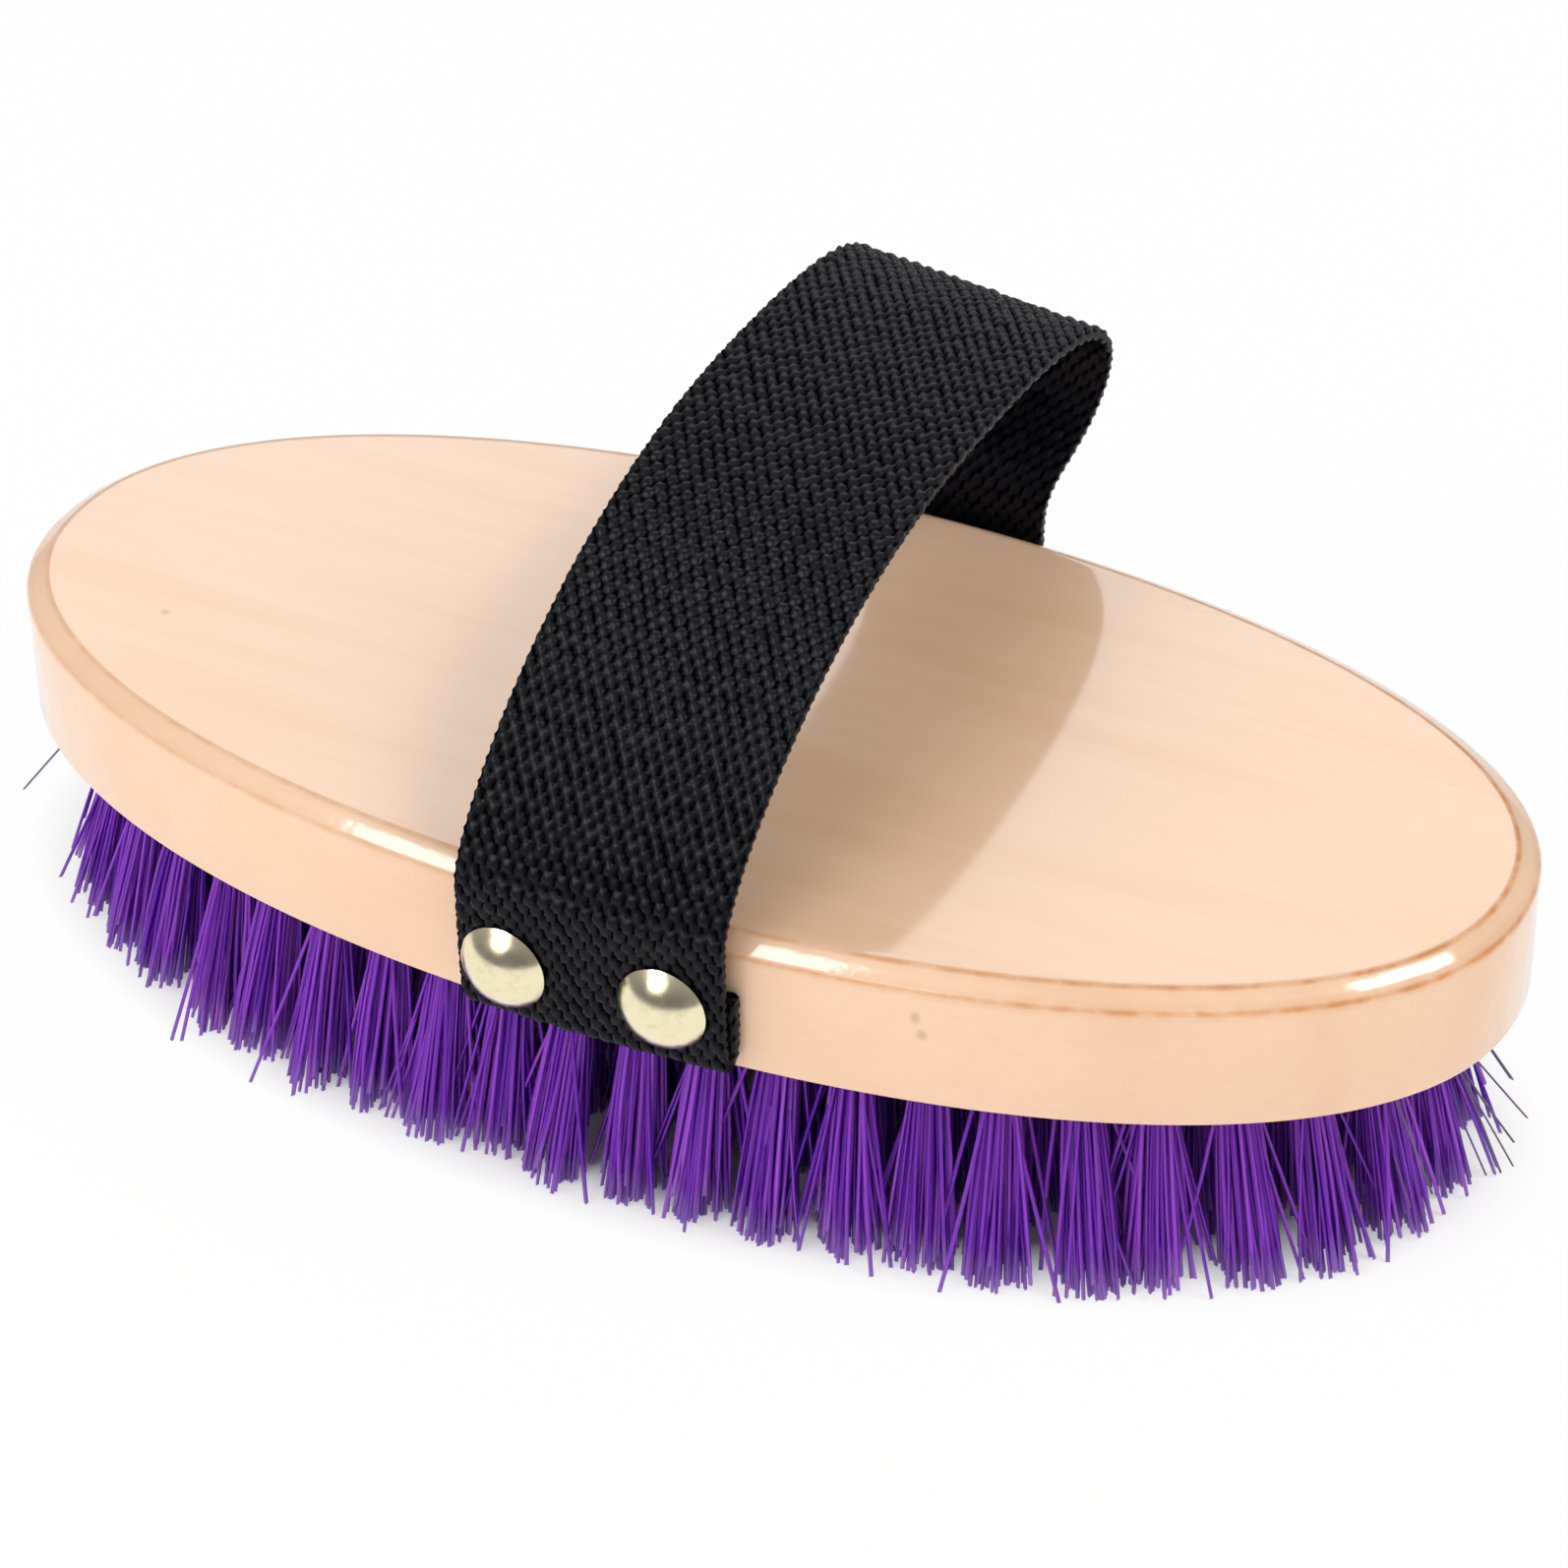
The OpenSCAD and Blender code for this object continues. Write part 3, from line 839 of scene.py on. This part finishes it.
@dataclass
class HandStrap:
    """One strip of webbing: nailed tabs with folded hems, and the arch over the back."""

    oval: Oval
    under: float
    top: float
    finish: BlackWebbing = field(default_factory=BlackWebbing)
    width: float = 35.0
    thick: float = 1.9
    front_x: float = 4.0
    crown_x: float = 5.0
    turn_x: float = 5.0
    rear_x: float = 0.0
    hem_shift: float = 0.7
    hem_top: float = 11.4
    fold_z: float = 0.8
    wood_gap: float = 0.15
    foot_rise: float = 1.0
    arch_rise: float = 33.9
    crown_y: float = 21.0
    turn_rise: float = 21.8
    turn_out: float = 13.0
    crown_tilt: float = -5.7
    turn_tilt: float = -7.7
    front_bend: float = 4.2
    front_sweep: float = 49.5
    rear_sweep: float = 21.5
    turn_up: float = 9.7
    turn_down: float = 13.3
    rear_tuck: float = 8.7
    columns: int = 19
    column_steps: int = 6
    inner_steps: int = 4
    knuckle_pitch: float = 2.88
    knuckle_steps: int = 6
    knuckle_h: float = 0.75
    knuckle_half: Pair = (0.49, 0.345)
    knuckle_size: Pair = (0.8, 1.1)
    knuckle_slip: float = 0.06
    knuckle_lean: Pair = (-0.1, 0.22)
    knuckle_skew: float = 0.1
    low_rows: Pair = (0.74, 0.94)
    low_reach: float = 40.0
    hug_fade: float = 14.0
    tab_fade: float = 3.0
    tab_press: float = 0.25
    tab_thin: float = 0.12
    inner_depth: float = 0.8
    inner_press: float = 0.6
    ease_steps: int = 31
    curve_steps: int = 200
    fold_steps: int = 60
    crease_rise: float = 1.8
    crease_depth: float = 0.45
    crease_width: float = 0.6
    selvedge: float = 0.3
    scallop: Pair = (0.55, 0.45)
    edge_half: float = 0.45
    edge_relief: float = 0.75
    nail_z: float = 9.0
    nail_half_gap: float = 10.5
    nail_shift: float = -0.7
    nail_step: float = 0.7
    dent_depth: float = 0.25
    dent_r: float = 6.2
    seed: int = 7

    def build(self) -> bpy.types.Object:
        """Model the whole strip as one closed mesh.

        Returns:
            The finished strap.
        """
        line = self.middle_line()
        points, relief, along, across = self.surface(line)
        stations, ring = points.shape[:2]
        faces = [
            [i * ring + k, i * ring + (k + 1) % ring, (i + 1) * ring + (k + 1) % ring, (i + 1) * ring + k]
            for i in range(stations - 1) for k in range(ring)]
        faces.append(list(range(ring - 1, -1, -1)))
        faces.append([(stations - 1) * ring + k for k in range(ring)])
        strap = new_piece("webbing_hand_strap", points.reshape(-1, 3), faces)
        # The relief also sets where the weave's gaps get painted shade.
        add_attribute(strap, "relief", relief)
        add_attribute(strap, "along", along)
        add_attribute(strap, "across", across)
        strap.data.materials.append(self.finish.material())
        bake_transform(strap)
        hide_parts("strap_end_front", "strap_end_rear", "strap_leg_front", "strap_leg_rear",
                    "strap_crown")
        return strap

    def bezier(self, *corners: Pair) -> np.ndarray:
        """Sample a cubic curve.

        Args:
            corners: The curve's four control points.

        Returns:
            Points along it.
        """
        t = np.linspace(0, 1, self.curve_steps)[:, None]
        a, b, c, d = (np.array(p) for p in corners)
        return (1 - t) ** 3 * a + 3 * (1 - t) ** 2 * t * b + 3 * (1 - t) * t * t * c + t ** 3 * d

    def middle_line(self) -> dict[str, np.ndarray]:
        """Lay the strip's middle line from the front hem to the rear hem.

        Returns:
            Arrays along the line: run, y, z, x, tilt in radians, and how far it hugs the wood.
            The marks are the runs at which its nine stretches end.
        """
        half = self.thick / 2
        hem, tab = self.wood_gap + half, self.wood_gap + 3 * half
        turn_z = self.under + self.fold_z + self.thick
        hem_z = self.under + self.hem_top
        foot_z = self.top + self.foot_rise
        edge = self.oval.half_w
        fold = np.linspace(0, math.pi, self.fold_steps)
        fold_y = edge + (hem + tab) / 2 - half * np.cos(fold)
        fold_z = turn_z - half * np.sin(fold)
        front_foot, rear_foot = (-edge - tab, foot_z), (edge + tab, foot_z)
        crown = (self.crown_y, self.top + self.arch_rise)
        turn = (edge + self.turn_out, self.top + self.turn_rise)
        legs = [
            np.array([[-edge - hem, hem_z], [-edge - hem, turn_z]]),
            np.stack([-fold_y, fold_z], axis=-1),
            np.array([[-edge - tab, turn_z], front_foot]),
            self.bezier(front_foot, (front_foot[0], foot_z + self.front_bend),
                        (crown[0] - self.front_sweep, crown[1]), crown),
            self.bezier(crown, (crown[0] + self.rear_sweep, crown[1]),
                        (turn[0], turn[1] + self.turn_up), turn),
            self.bezier(turn, (turn[0], turn[1] - self.turn_down),
                        (rear_foot[0], foot_z + self.rear_tuck), rear_foot),
            np.array([rear_foot, [edge + tab, turn_z]]),
            np.stack([fold_y, fold_z], axis=-1)[::-1],
            np.array([[edge + hem, turn_z], [edge + hem, hem_z]])]
        points = np.concatenate(legs)
        run = np.concatenate([[0], np.cumsum(np.hypot(*np.diff(points, axis=0).T))])
        keep = np.concatenate([[True], np.diff(run) > 1e-9])
        points, run = points[keep], run[keep]
        marks = np.cumsum([np.hypot(*np.diff(leg, axis=0).T).sum() for leg in legs])
        step = self.knuckle_pitch / self.knuckle_steps
        s = np.linspace(0, run[-1], int(round(run[-1] / step)) + 1)
        at = [0, *marks]
        shift = self.hem_shift
        x = np.interp(s, at, [
            self.front_x + shift, self.front_x + shift, self.front_x, self.front_x, self.crown_x, self.turn_x,
            self.rear_x, self.rear_x, self.rear_x + shift, self.rear_x + shift])
        tilt = np.interp(s, at, [0, 0, 0, 0, self.crown_tilt, self.turn_tilt, 0, 0, 0, 0])
        return {
            "run": s, "y": np.interp(s, run, points[:, 0]), "z": np.interp(s, run, points[:, 1]),
            "x": self.ease(x), "tilt": np.radians(self.ease(tilt)),
            "hug": self.near_tabs(s, marks, self.hug_fade), "marks": marks}

    def ease(self, values: np.ndarray) -> np.ndarray:
        """Take the corners out of values along the strip.

        Args:
            values: One value for each place along.

        Returns:
            The smoother values.
        """
        window = np.hanning(self.ease_steps)
        padded = np.pad(values, self.ease_steps // 2, mode="edge")
        return np.convolve(padded, window / window.sum(), mode="valid")

    def near_tabs(self, run: np.ndarray, marks: np.ndarray, fade: float) -> np.ndarray:
        """How near each place along is to a nailed tab: 1 on it, and 0 from a fade's length away."""
        front = 1 - smoothstep((run - marks[Mark.FRONT_FOOT]) / fade)
        return np.maximum(front, smoothstep((run - marks[Mark.REAR_FOOT] + fade) / fade))

    def knuckles(self, v: np.ndarray, run: np.ndarray, even: np.ndarray,
                 rng: np.random.Generator) -> np.ndarray:
        """Height of the weave: rows of knuckles laid like bricks, every other row a little lower.

        Args:
            v: Places across the webbing, in millimetres.
            run: Places along the webbing, in millimetres.
            even: How even the rows are at each place along, from 0 to 1.
            rng: The strap's own random numbers.

        Returns:
            One row of heights for each place along, from 0 in the gaps to about 1.
        """
        height = np.zeros((len(run), len(v)))
        count = (int(run[-1] / self.knuckle_pitch) + 4, self.columns + 4)
        low = self.low_rows[0] + (self.low_rows[1] - self.low_rows[0]) * even[:, None]
        for half, share in ((0.0, 1.0), (0.5, low)):
            q = np.broadcast_to(v * self.columns / self.width + half, height.shape)
            column = np.round(q)
            p = np.arange(len(run))[:, None] / self.knuckle_steps + half + (q - column) * self.knuckle_skew
            row = np.round(p)
            at = (row.astype(int) % count[0], column.astype(int) % count[1])
            size = rng.uniform(*self.knuckle_size, count)[at]
            slip = rng.uniform(-self.knuckle_slip, self.knuckle_slip, count)[at]
            lean = rng.uniform(*self.knuckle_lean, count)[at]
            across = (q - column) / self.knuckle_half[0]
            along = (p - row + slip + lean * (q - column)) / self.knuckle_half[1]
            room = 1 - across ** 2 - along ** 2
            height = np.maximum(height, share * size * np.sqrt(np.clip(room, 0, 1)))
        return height

    def surface(self, line: dict[str, np.ndarray]) -> tuple[np.ndarray, np.ndarray, np.ndarray, np.ndarray]:
        """Wrap both faces and both selvedges of the webbing round its middle line.

        Args:
            line: What middle_line returned.

        Returns:
            Rings of points, and each point's relief, place along and place across.
        """
        rng = np.random.default_rng(self.seed)
        s = line["run"]
        half_w, half_t = self.width / 2, self.thick / 2
        outer_v = np.linspace(-half_w, half_w, self.columns * self.column_steps + 1)
        inner_v = np.linspace(half_w, -half_w, self.columns * self.inner_steps + 1)
        marks = line["marks"]
        on_tab = self.near_tabs(s, marks, self.tab_fade)
        from_foot = np.minimum(s - marks[Mark.FRONT_FOOT], marks[Mark.REAR_FOOT] - s)
        even = np.maximum(on_tab, smoothstep(from_foot / self.low_reach))
        outer_h = self.knuckles(outer_v, s, even, rng)
        inner_h = self.knuckles(inner_v, s, even, rng)
        wave = self.scallop[0] + self.scallop[1] * np.cos(4 * math.pi * s / self.knuckle_pitch)
        rim = half_w + self.selvedge * wave[:, None]
        outer_v = np.broadcast_to(outer_v, outer_h.shape)
        inner_v = np.broadcast_to(inner_v, inner_h.shape)
        on_tab = on_tab[:, None]
        depth = self.knuckle_h * (1 - self.tab_press * on_tab)
        outer_n = half_t - depth * (1 - outer_h) - self.nail_dents(outer_v, line) - self.crease(line)[:, None]
        inner_depth = self.knuckle_h * self.inner_depth * (1 - inner_h) * (1 - self.inner_press * on_tab)
        inner_n = -(half_t - self.tab_thin * on_tab - inner_depth)
        edge_n = np.array([self.edge_half, -self.edge_half]) * half_t * np.ones((len(s), 1))
        v = np.concatenate([outer_v, rim, rim, inner_v, -rim, -rim], axis=1)
        n = np.concatenate([outer_n, edge_n, inner_n, edge_n[:, ::-1]], axis=1)
        # The selvedges take a fixed relief, high enough to get none of the painted gap shade.
        side = np.full((len(s), 2), self.edge_relief)
        relief = np.concatenate([outer_h, side, inner_h, side], axis=1)
        return self.place(v, n, line), relief, np.broadcast_to(s[:, None], v.shape), v

    def crease(self, line: dict[str, np.ndarray]) -> np.ndarray:
        """Depth of the folded crease where each tab meets the arch.

        Args:
            line: What middle_line returned.

        Returns:
            The depth at each place along.
        """
        feet = line["marks"][[Mark.FRONT_FOOT, Mark.REAR_FOOT]]
        near = np.min(np.abs(line["run"][:, None] - feet - (self.crease_rise, -self.crease_rise)), axis=1)
        return self.crease_depth * np.exp(-(near / self.crease_width) ** 2)

    def nail_dents(self, v: np.ndarray, line: dict[str, np.ndarray]) -> np.ndarray:
        """Depth to which the nails pull the outer layer in.

        Args:
            v: Places across, in millimetres.
            line: What middle_line returned.

        Returns:
            The depth at each place.
        """
        marks, s = line["marks"], line["run"][:, None]
        rise = self.nail_z - self.fold_z - self.thick
        near = [np.hypot(np.abs(v) - self.nail_half_gap, s - marks[Mark.FRONT_FOLD] - rise),
                np.hypot(np.abs(v) - self.nail_half_gap, s - marks[Mark.REAR_FOLD] + rise)]
        return self.dent_depth * np.exp(-(np.minimum(*near) / self.dent_r) ** 4)

    def place(self, v: np.ndarray, n: np.ndarray, line: dict[str, np.ndarray]) -> np.ndarray:
        """Carry places across and outwards from the middle line into space.

        Args:
            v: Places across, in millimetres.
            n: Distances outwards, in millimetres.
            line: What middle_line returned.

        Returns:
            Rings of x, y, z.
        """
        ty, tz = np.gradient(line["y"]), np.gradient(line["z"])
        length = np.hypot(ty, tz)
        ny, nz = (-tz / length)[:, None], (ty / length)[:, None]
        x = line["x"][:, None] + v * np.cos(line["tilt"])[:, None]
        bow = self.oval.side_y(np.clip(x, -self.oval.half_l, self.oval.half_l)) - self.oval.half_w
        y = line["y"][:, None] + n * ny + np.sign(line["y"])[:, None] * bow * line["hug"][:, None]
        z = line["z"][:, None] + n * nz + v * np.sin(line["tilt"])[:, None]
        return np.stack([x, y, z], axis=-1)


@dataclass
class DomeNail:
    """A brass upholstery nail with a low domed head, a rolled rim and a pointed shank."""

    node: str
    x: float
    side: Side
    oval: Oval
    height: float
    finish: bpy.types.Material
    stand_off: float = 4.05
    head_d: float = 11.4
    head_h: float = 3.0
    rim_round: float = 0.32
    shank_d: float = 2.2
    shank_l: float = 16.0
    point_l: float = 3.0
    point_share: float = 0.25
    segments: int = 64
    rings: int = 48
    round_steps: int = 4
    smooth_angle: float = 40.0

    def build(self) -> bpy.types.Object:
        """Model the nail upright, then drive it into the side of the back.

        Returns:
            The finished nail.
        """
        dome_r = (self.head_d ** 2 / 4 + self.head_h ** 2) / (2 * self.head_h)
        deselect_all()
        bpy.ops.mesh.primitive_uv_sphere_add(
            segments=self.segments, ring_count=self.rings, radius=dome_r * MM,
            location=(0, 0, (self.head_h - dome_r) * MM))
        nail = bpy.context.object
        nail.name = nail.data.name = self.node + "_brass"
        bpy.ops.object.transform_apply(location=True, rotation=False, scale=False)
        set_mode("EDIT")
        bpy.ops.mesh.select_all(action="SELECT")
        bpy.ops.mesh.bisect(plane_co=(0, 0, 0), plane_no=(0, 0, 1), use_fill=True, clear_inner=True)
        set_mode("OBJECT")
        select_edges(nail, 0.0)
        bpy.ops.mesh.bevel(offset=self.rim_round * MM, segments=self.round_steps, affect="EDGES")
        self.extrude_shank(nail)
        bpy.ops.mesh.select_all(action="SELECT")
        bpy.ops.mesh.normals_make_consistent(inside=False)
        set_mode("OBJECT")
        bpy.ops.object.shade_smooth_by_angle(angle=math.radians(self.smooth_angle))
        radius = [math.hypot(v.co.x, v.co.y) / MM for v in nail.data.vertices]
        add_attribute(nail, "radius", np.array(radius))
        self.drive(nail)
        nail.data.materials.clear()
        nail.data.materials.append(self.finish)
        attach(nail, "back")
        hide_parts(self.node)
        return nail

    def extrude_shank(self, nail: bpy.types.Object) -> None:
        """Draw the shank and its point out of the underside of the head.

        Args:
            nail: The domed head, active and in edit mode.
        """
        bpy.ops.mesh.select_mode(type="FACE")
        bpy.ops.mesh.select_all(action="DESELECT")
        set_mode("OBJECT")
        for face in nail.data.polygons:
            face.select = face.normal.z < -0.9 and abs(face.center.z) < NEAR
        set_mode("EDIT")
        flat_r = self.head_d / 2 - self.rim_round
        bpy.ops.mesh.inset(thickness=(flat_r - self.shank_d / 2) * MM, depth=0.0)
        extrude(self.point_l - self.shank_l)
        extrude(-self.point_l)
        bpy.ops.transform.resize(value=(self.point_share, self.point_share, 1.0))

    def drive(self, nail: bpy.types.Object) -> None:
        """Turn the nail to point out of the back's side and set it in place.

        Args:
            nail: The upright nail, at the origin.
        """
        foot = np.array([self.x, self.side.value * self.oval.side_y(np.array(self.x))])
        out = self.oval.normal(foot)
        seat = foot + out * self.stand_off
        axis = Vector((out[0], out[1], 0))
        turn = Vector((0, 0, 1)).rotation_difference(axis).to_matrix().to_4x4()
        nail.data.transform(Matrix.Translation(Vector((seat[0], seat[1], self.height)) * MM) @ turn)


@dataclass(frozen=True)
class StudioPaper:
    """White paper under the brush.

    The eye sees plain white that fades into the room, with a soft shade close to the bristles.
    """

    paper: str = "#fbfbfb"
    white: str = "#ffffff"
    shade: Pair = (100.0, 50.0)
    fade: Pair = (0.86, 1.08)
    clear: float = 0.96

    def material(self) -> bpy.types.Material:
        """Build the paper's node material.

        Returns:
            The material.
        """
        material = new_material("white studio floor")
        pad = NodePad(material.node_tree)
        ray = pad.add("LightPath").outputs
        seen = pad.calculate("MAXIMUM", ray["Is Camera Ray"], ray["Is Glossy Ray"])
        shown = pad.calculate("MAXIMUM", seen, ray["Is Transmission Ray"])
        reach = pad.add("VectorMath", {0: pad.place(*self.shade, math.inf)}, operation="LENGTH")
        away = pad.ramp(reach.outputs["Value"], *self.fade, high=self.clear)
        paper = pad.add("BsdfDiffuse", {"Color": linear(self.paper)})
        white = pad.add("Emission", {"Color": linear(self.white), "Strength": 1.0})
        pad.finish(pad.add("MixShader", {
            0: pad.calculate("MULTIPLY", shown, away), 1: paper.outputs[0], 2: white.outputs[0]}))
        return material


@dataclass(frozen=True)
class Lamp:
    """A soft lamp that faces the brush.

    It hangs the distance away from the brush in the direction way, and its width runs along.
    """

    name: str
    way: Triple
    along: Triple
    size: Pair
    power: float
    distance: float = 1300.0
    use: LampUse = LampUse.BOTH
    shape: LampShape = LampShape.STRIP

    def hang(self, aim: Triple) -> None:
        """Add the lamp to the scene.

        Args:
            aim: The place that it faces.
        """
        data = bpy.data.lights.new(self.name, "AREA")
        data.shape = self.shape.value
        data.size = self.size[0] * MM
        data.size_y = self.size[1] * MM
        data.energy = self.power
        lamp = bpy.data.objects.new(self.name, data)
        lamp.visible_glossy = self.use is not LampUse.LIGHT
        lamp.visible_diffuse = self.use is not LampUse.MIRRORED
        out = Vector(self.way).normalized()
        wide = Vector(self.along) - out * Vector(self.along).dot(out)
        wide.normalize()
        turn = Matrix((wide, out.cross(wide), out)).transposed().to_4x4()
        lamp.matrix_world = Matrix.Translation((Vector(aim) + out * self.distance) * MM) @ turn
        bpy.context.scene.collection.objects.link(lamp)


LAMPS = (
    Lamp("overhead_left", way=(-0.371, -0.378, 0.848), along=(0.92, -0.18, 0.35), size=(445.0, 230.0),
         power=3.6, distance=954.0, use=LampUse.MIRRORED),
    Lamp("overhead_right", way=(0.567, 0.146, 0.811), along=(0.37, 0.85, -0.38), size=(365.0, 104.0),
         power=2.3, distance=954.0),
    Lamp("backdrop_glow", way=(-0.36, 0.72, 0.59), along=(0.89, 0.45, 0.0), size=(880.0, 420.0), power=2.7),
    Lamp("key", way=(-0.27, -0.68, 0.68), along=(0.93, -0.37, 0.0), size=(900.0, 840.0),
         power=4.3, shape=LampShape.ROUND),
    Lamp("front_fill", way=(-0.50, -0.80, 0.34), along=(0.85, -0.53, 0.0), size=(2600.0, 880.0),
         power=9.2, use=LampUse.LIGHT),
    Lamp("right_front", way=(0.62, -0.62, 0.48), along=(0.71, 0.71, 0.0), size=(2600.0, 1250.0),
         power=6.7, use=LampUse.LIGHT),
    Lamp("right_fill", way=(0.90, 0.10, 0.42), along=(-0.11, 0.99, 0.0), size=(1000.0, 1000.0),
         power=2.7, use=LampUse.LIGHT),
    Lamp("left_fill", way=(-0.88, -0.26, 0.40), along=(0.28, -0.96, 0.0), size=(1200.0, 1000.0),
         power=1.5, use=LampUse.LIGHT))


@dataclass
class Studio:
    """White floor, soft lamps and the photograph's camera."""

    aim: Triple = (0.0, 0.0, 36.24)
    azimuth: float = 26.5326
    elevation: float = 35.8684
    roll: float = -0.8070
    distance: float = 611.7
    offset: Pair = (4.036, -4.587)
    lens: float = 110.67
    sensor: float = 36.0
    nearest: float = 10.0
    floor: StudioPaper = field(default_factory=StudioPaper)
    floor_size: float = 9000.0
    room_colours: tuple[str, str] = ("#a8a8aa", "#ffffff")
    room_slope: float = 0.8
    room_range: Pair = (-0.6, 0.7)
    room_power: float = 0.3
    mirrored_power: float = 0.15

    def build(self) -> None:
        """Set up the floor, the world, the lamps and the camera."""
        self.add_floor()
        self.light_world()
        for lamp in LAMPS:
            lamp.hang(self.aim)
        self.add_camera()
        bpy.context.scene.view_settings.view_transform = "Standard"

    def add_floor(self) -> None:
        """Lay the floor under the bristle tips, white to the eye and shaded by the brush."""
        deselect_all()
        bpy.ops.mesh.primitive_plane_add(size=self.floor_size * MM)
        floor = bpy.context.object
        floor.name = "studio_floor"
        floor.data.materials.append(self.floor.material())

    def light_world(self) -> None:
        """Light the room evenly, darker on the camera's side, and show it white."""
        world = bpy.data.worlds.new("studio_room")
        bpy.context.scene.world = world
        world.use_nodes = True
        world.node_tree.nodes.clear()
        pad = NodePad(world.node_tree)
        way = pad.add("SeparateXYZ", {0: pad.add("TexCoord").outputs["Generated"]}).outputs
        tilt = pad.calculate("MULTIPLY_ADD", way["Z"], self.room_slope, way["Y"])
        room = pad.mix(pad.ramp(tilt, *self.room_range), *self.room_colours)
        ray = pad.add("LightPath").outputs
        glint = pad.calculate("MULTIPLY_ADD", ray["Is Glossy Ray"], self.mirrored_power, self.room_power)
        lit = pad.add("Background", {"Color": room, "Strength": glint})
        seen = pad.add("Background", {"Color": linear(self.room_colours[1]), "Strength": 1.0})
        both = pad.add("MixShader", {0: ray["Is Camera Ray"], 1: lit.outputs[0], 2: seen.outputs[0]})
        pad.finish(both, "OutputWorld")

    def add_camera(self) -> None:
        """Place the camera at the photograph's viewpoint."""
        a, e, r = (math.radians(v) for v in (self.azimuth, self.elevation, self.roll))
        back = Vector((math.sin(a) * math.cos(e), -math.cos(a) * math.cos(e), math.sin(e)))
        level = Vector((math.cos(a), math.sin(a), 0))
        rise = back.cross(level)
        right = level * math.cos(r) + rise * math.sin(r)
        up = rise * math.cos(r) - level * math.sin(r)
        place = Vector(self.aim) + back * self.distance + right * self.offset[0] + up * self.offset[1]
        data = bpy.data.cameras.new("photo_camera")
        data.lens = self.lens
        data.sensor_width = self.sensor
        data.clip_start = self.nearest * MM
        camera = bpy.data.objects.new("photo_camera", data)
        turn = Matrix((right, up, back)).transposed().to_4x4()
        camera.matrix_world = Matrix.Translation(place * MM) @ turn
        bpy.context.scene.collection.objects.link(camera)
        bpy.context.scene.camera = camera


@dataclass
class TuftPlan:
    """Where the tufts stand: four ovals inside the outline and one straight row along the middle."""

    oval: Oval
    edge_gap: float = 10.5
    end_gap: float = 14.0
    hole_d: float = 4.2
    edge_pitch: float = 9.0
    tuft_pitch: float = 10.0
    ovals: int = 4
    steps: int = 120

    def rows(self) -> list[tuple[np.ndarray, np.ndarray]]:
        """Lay out every row, from the outside in.

        Returns:
            The places and outward directions of each row's tufts.
        """
        step = (self.oval.half_w - self.edge_gap) / self.ovals
        rows = [
            self.oval_row(self.edge_gap + k * step, self.tuft_pitch if k else self.edge_pitch)
            for k in range(self.ovals)]
        reach = math.floor((self.oval.half_l - self.oval.half_w - self.hole_d / 2) / self.tuft_pitch)
        x = np.arange(-reach, reach + 1) * self.tuft_pitch
        rows.append((np.stack([x, 0 * x], axis=-1), np.stack([0 * x, 0 * x + 1], axis=-1)))
        return rows

    def oval_row(self, inset: float, pitch: float) -> tuple[np.ndarray, np.ndarray]:
        """Space tufts evenly round an oval.

        Args:
            inset: How far the oval lies inside the outline.
            pitch: The spacing aimed at.

        Returns:
            The places and outward directions of the tufts.
        """
        angles = np.linspace(0, 2 * math.pi, self.steps + 1)
        shorter = Oval(self.oval.half_l - self.end_gap + self.edge_gap, self.oval.half_w, self.oval.power)
        ring = shorter.point(angles, inset)
        run = np.concatenate([[0], np.cumsum(np.hypot(*np.diff(ring, axis=0).T))])
        count = round(run[-1] / pitch)
        at = np.interp(run[-1] * np.arange(count) / count, run, angles)
        places = shorter.point(at, inset)
        return places, shorter.normal(places, inset)


def main() -> None:
    """Build the brush piece by piece and set up the studio."""
    logging.basicConfig(level=logging.INFO, format="%(name)s: %(message)s")
    low, high = (np.array(c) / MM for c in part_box("wooden_back"))
    oval = Oval(half_l=(high[0] - low[0]) / 2, half_w=(high[1] - low[1]) / 2)
    rows = TuftPlan(oval).rows()
    block = WoodenBack(oval, low[2], high[2]).build(np.concatenate([places for places, _ in rows]))
    log.info("%s: %d faces", block.name, len(block.data.polygons))

    filament = BristleFilament().material()
    for plan, (places, outward) in zip(ROW_PLANS, rows):
        row = TuftRow(plan, places, outward, low[2], filament).build()
        log.info("%s: %d filaments", row.name, len(places) * plan.filaments)

    strap = HandStrap(oval, low[2], high[2])
    webbing = strap.build()
    log.info("%s: %d faces", webbing.name, len(webbing.data.polygons))

    brass = PolishedBrass().material()
    for side, middle in ((Side.FRONT, strap.front_x), (Side.REAR, strap.rear_x)):
        for hand in Hand:
            node = f"nail_{side.name.lower()}_{hand.name.lower()}"
            front = side is Side.FRONT
            x = middle + hand.value * strap.nail_half_gap + strap.nail_shift * front
            z = low[2] + strap.nail_z + hand.value * strap.nail_step / 2 * front
            nail = DomeNail(node, x, side, oval, z, brass).build()
            log.info("%s: at x %.1f", nail.name, x)

    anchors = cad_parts["tuft_anchors"]
    anchors.data.materials.clear()
    anchors.data.materials.append(AnchorWire().material())

    Studio().build()


if __name__ == "__main__":
    main()
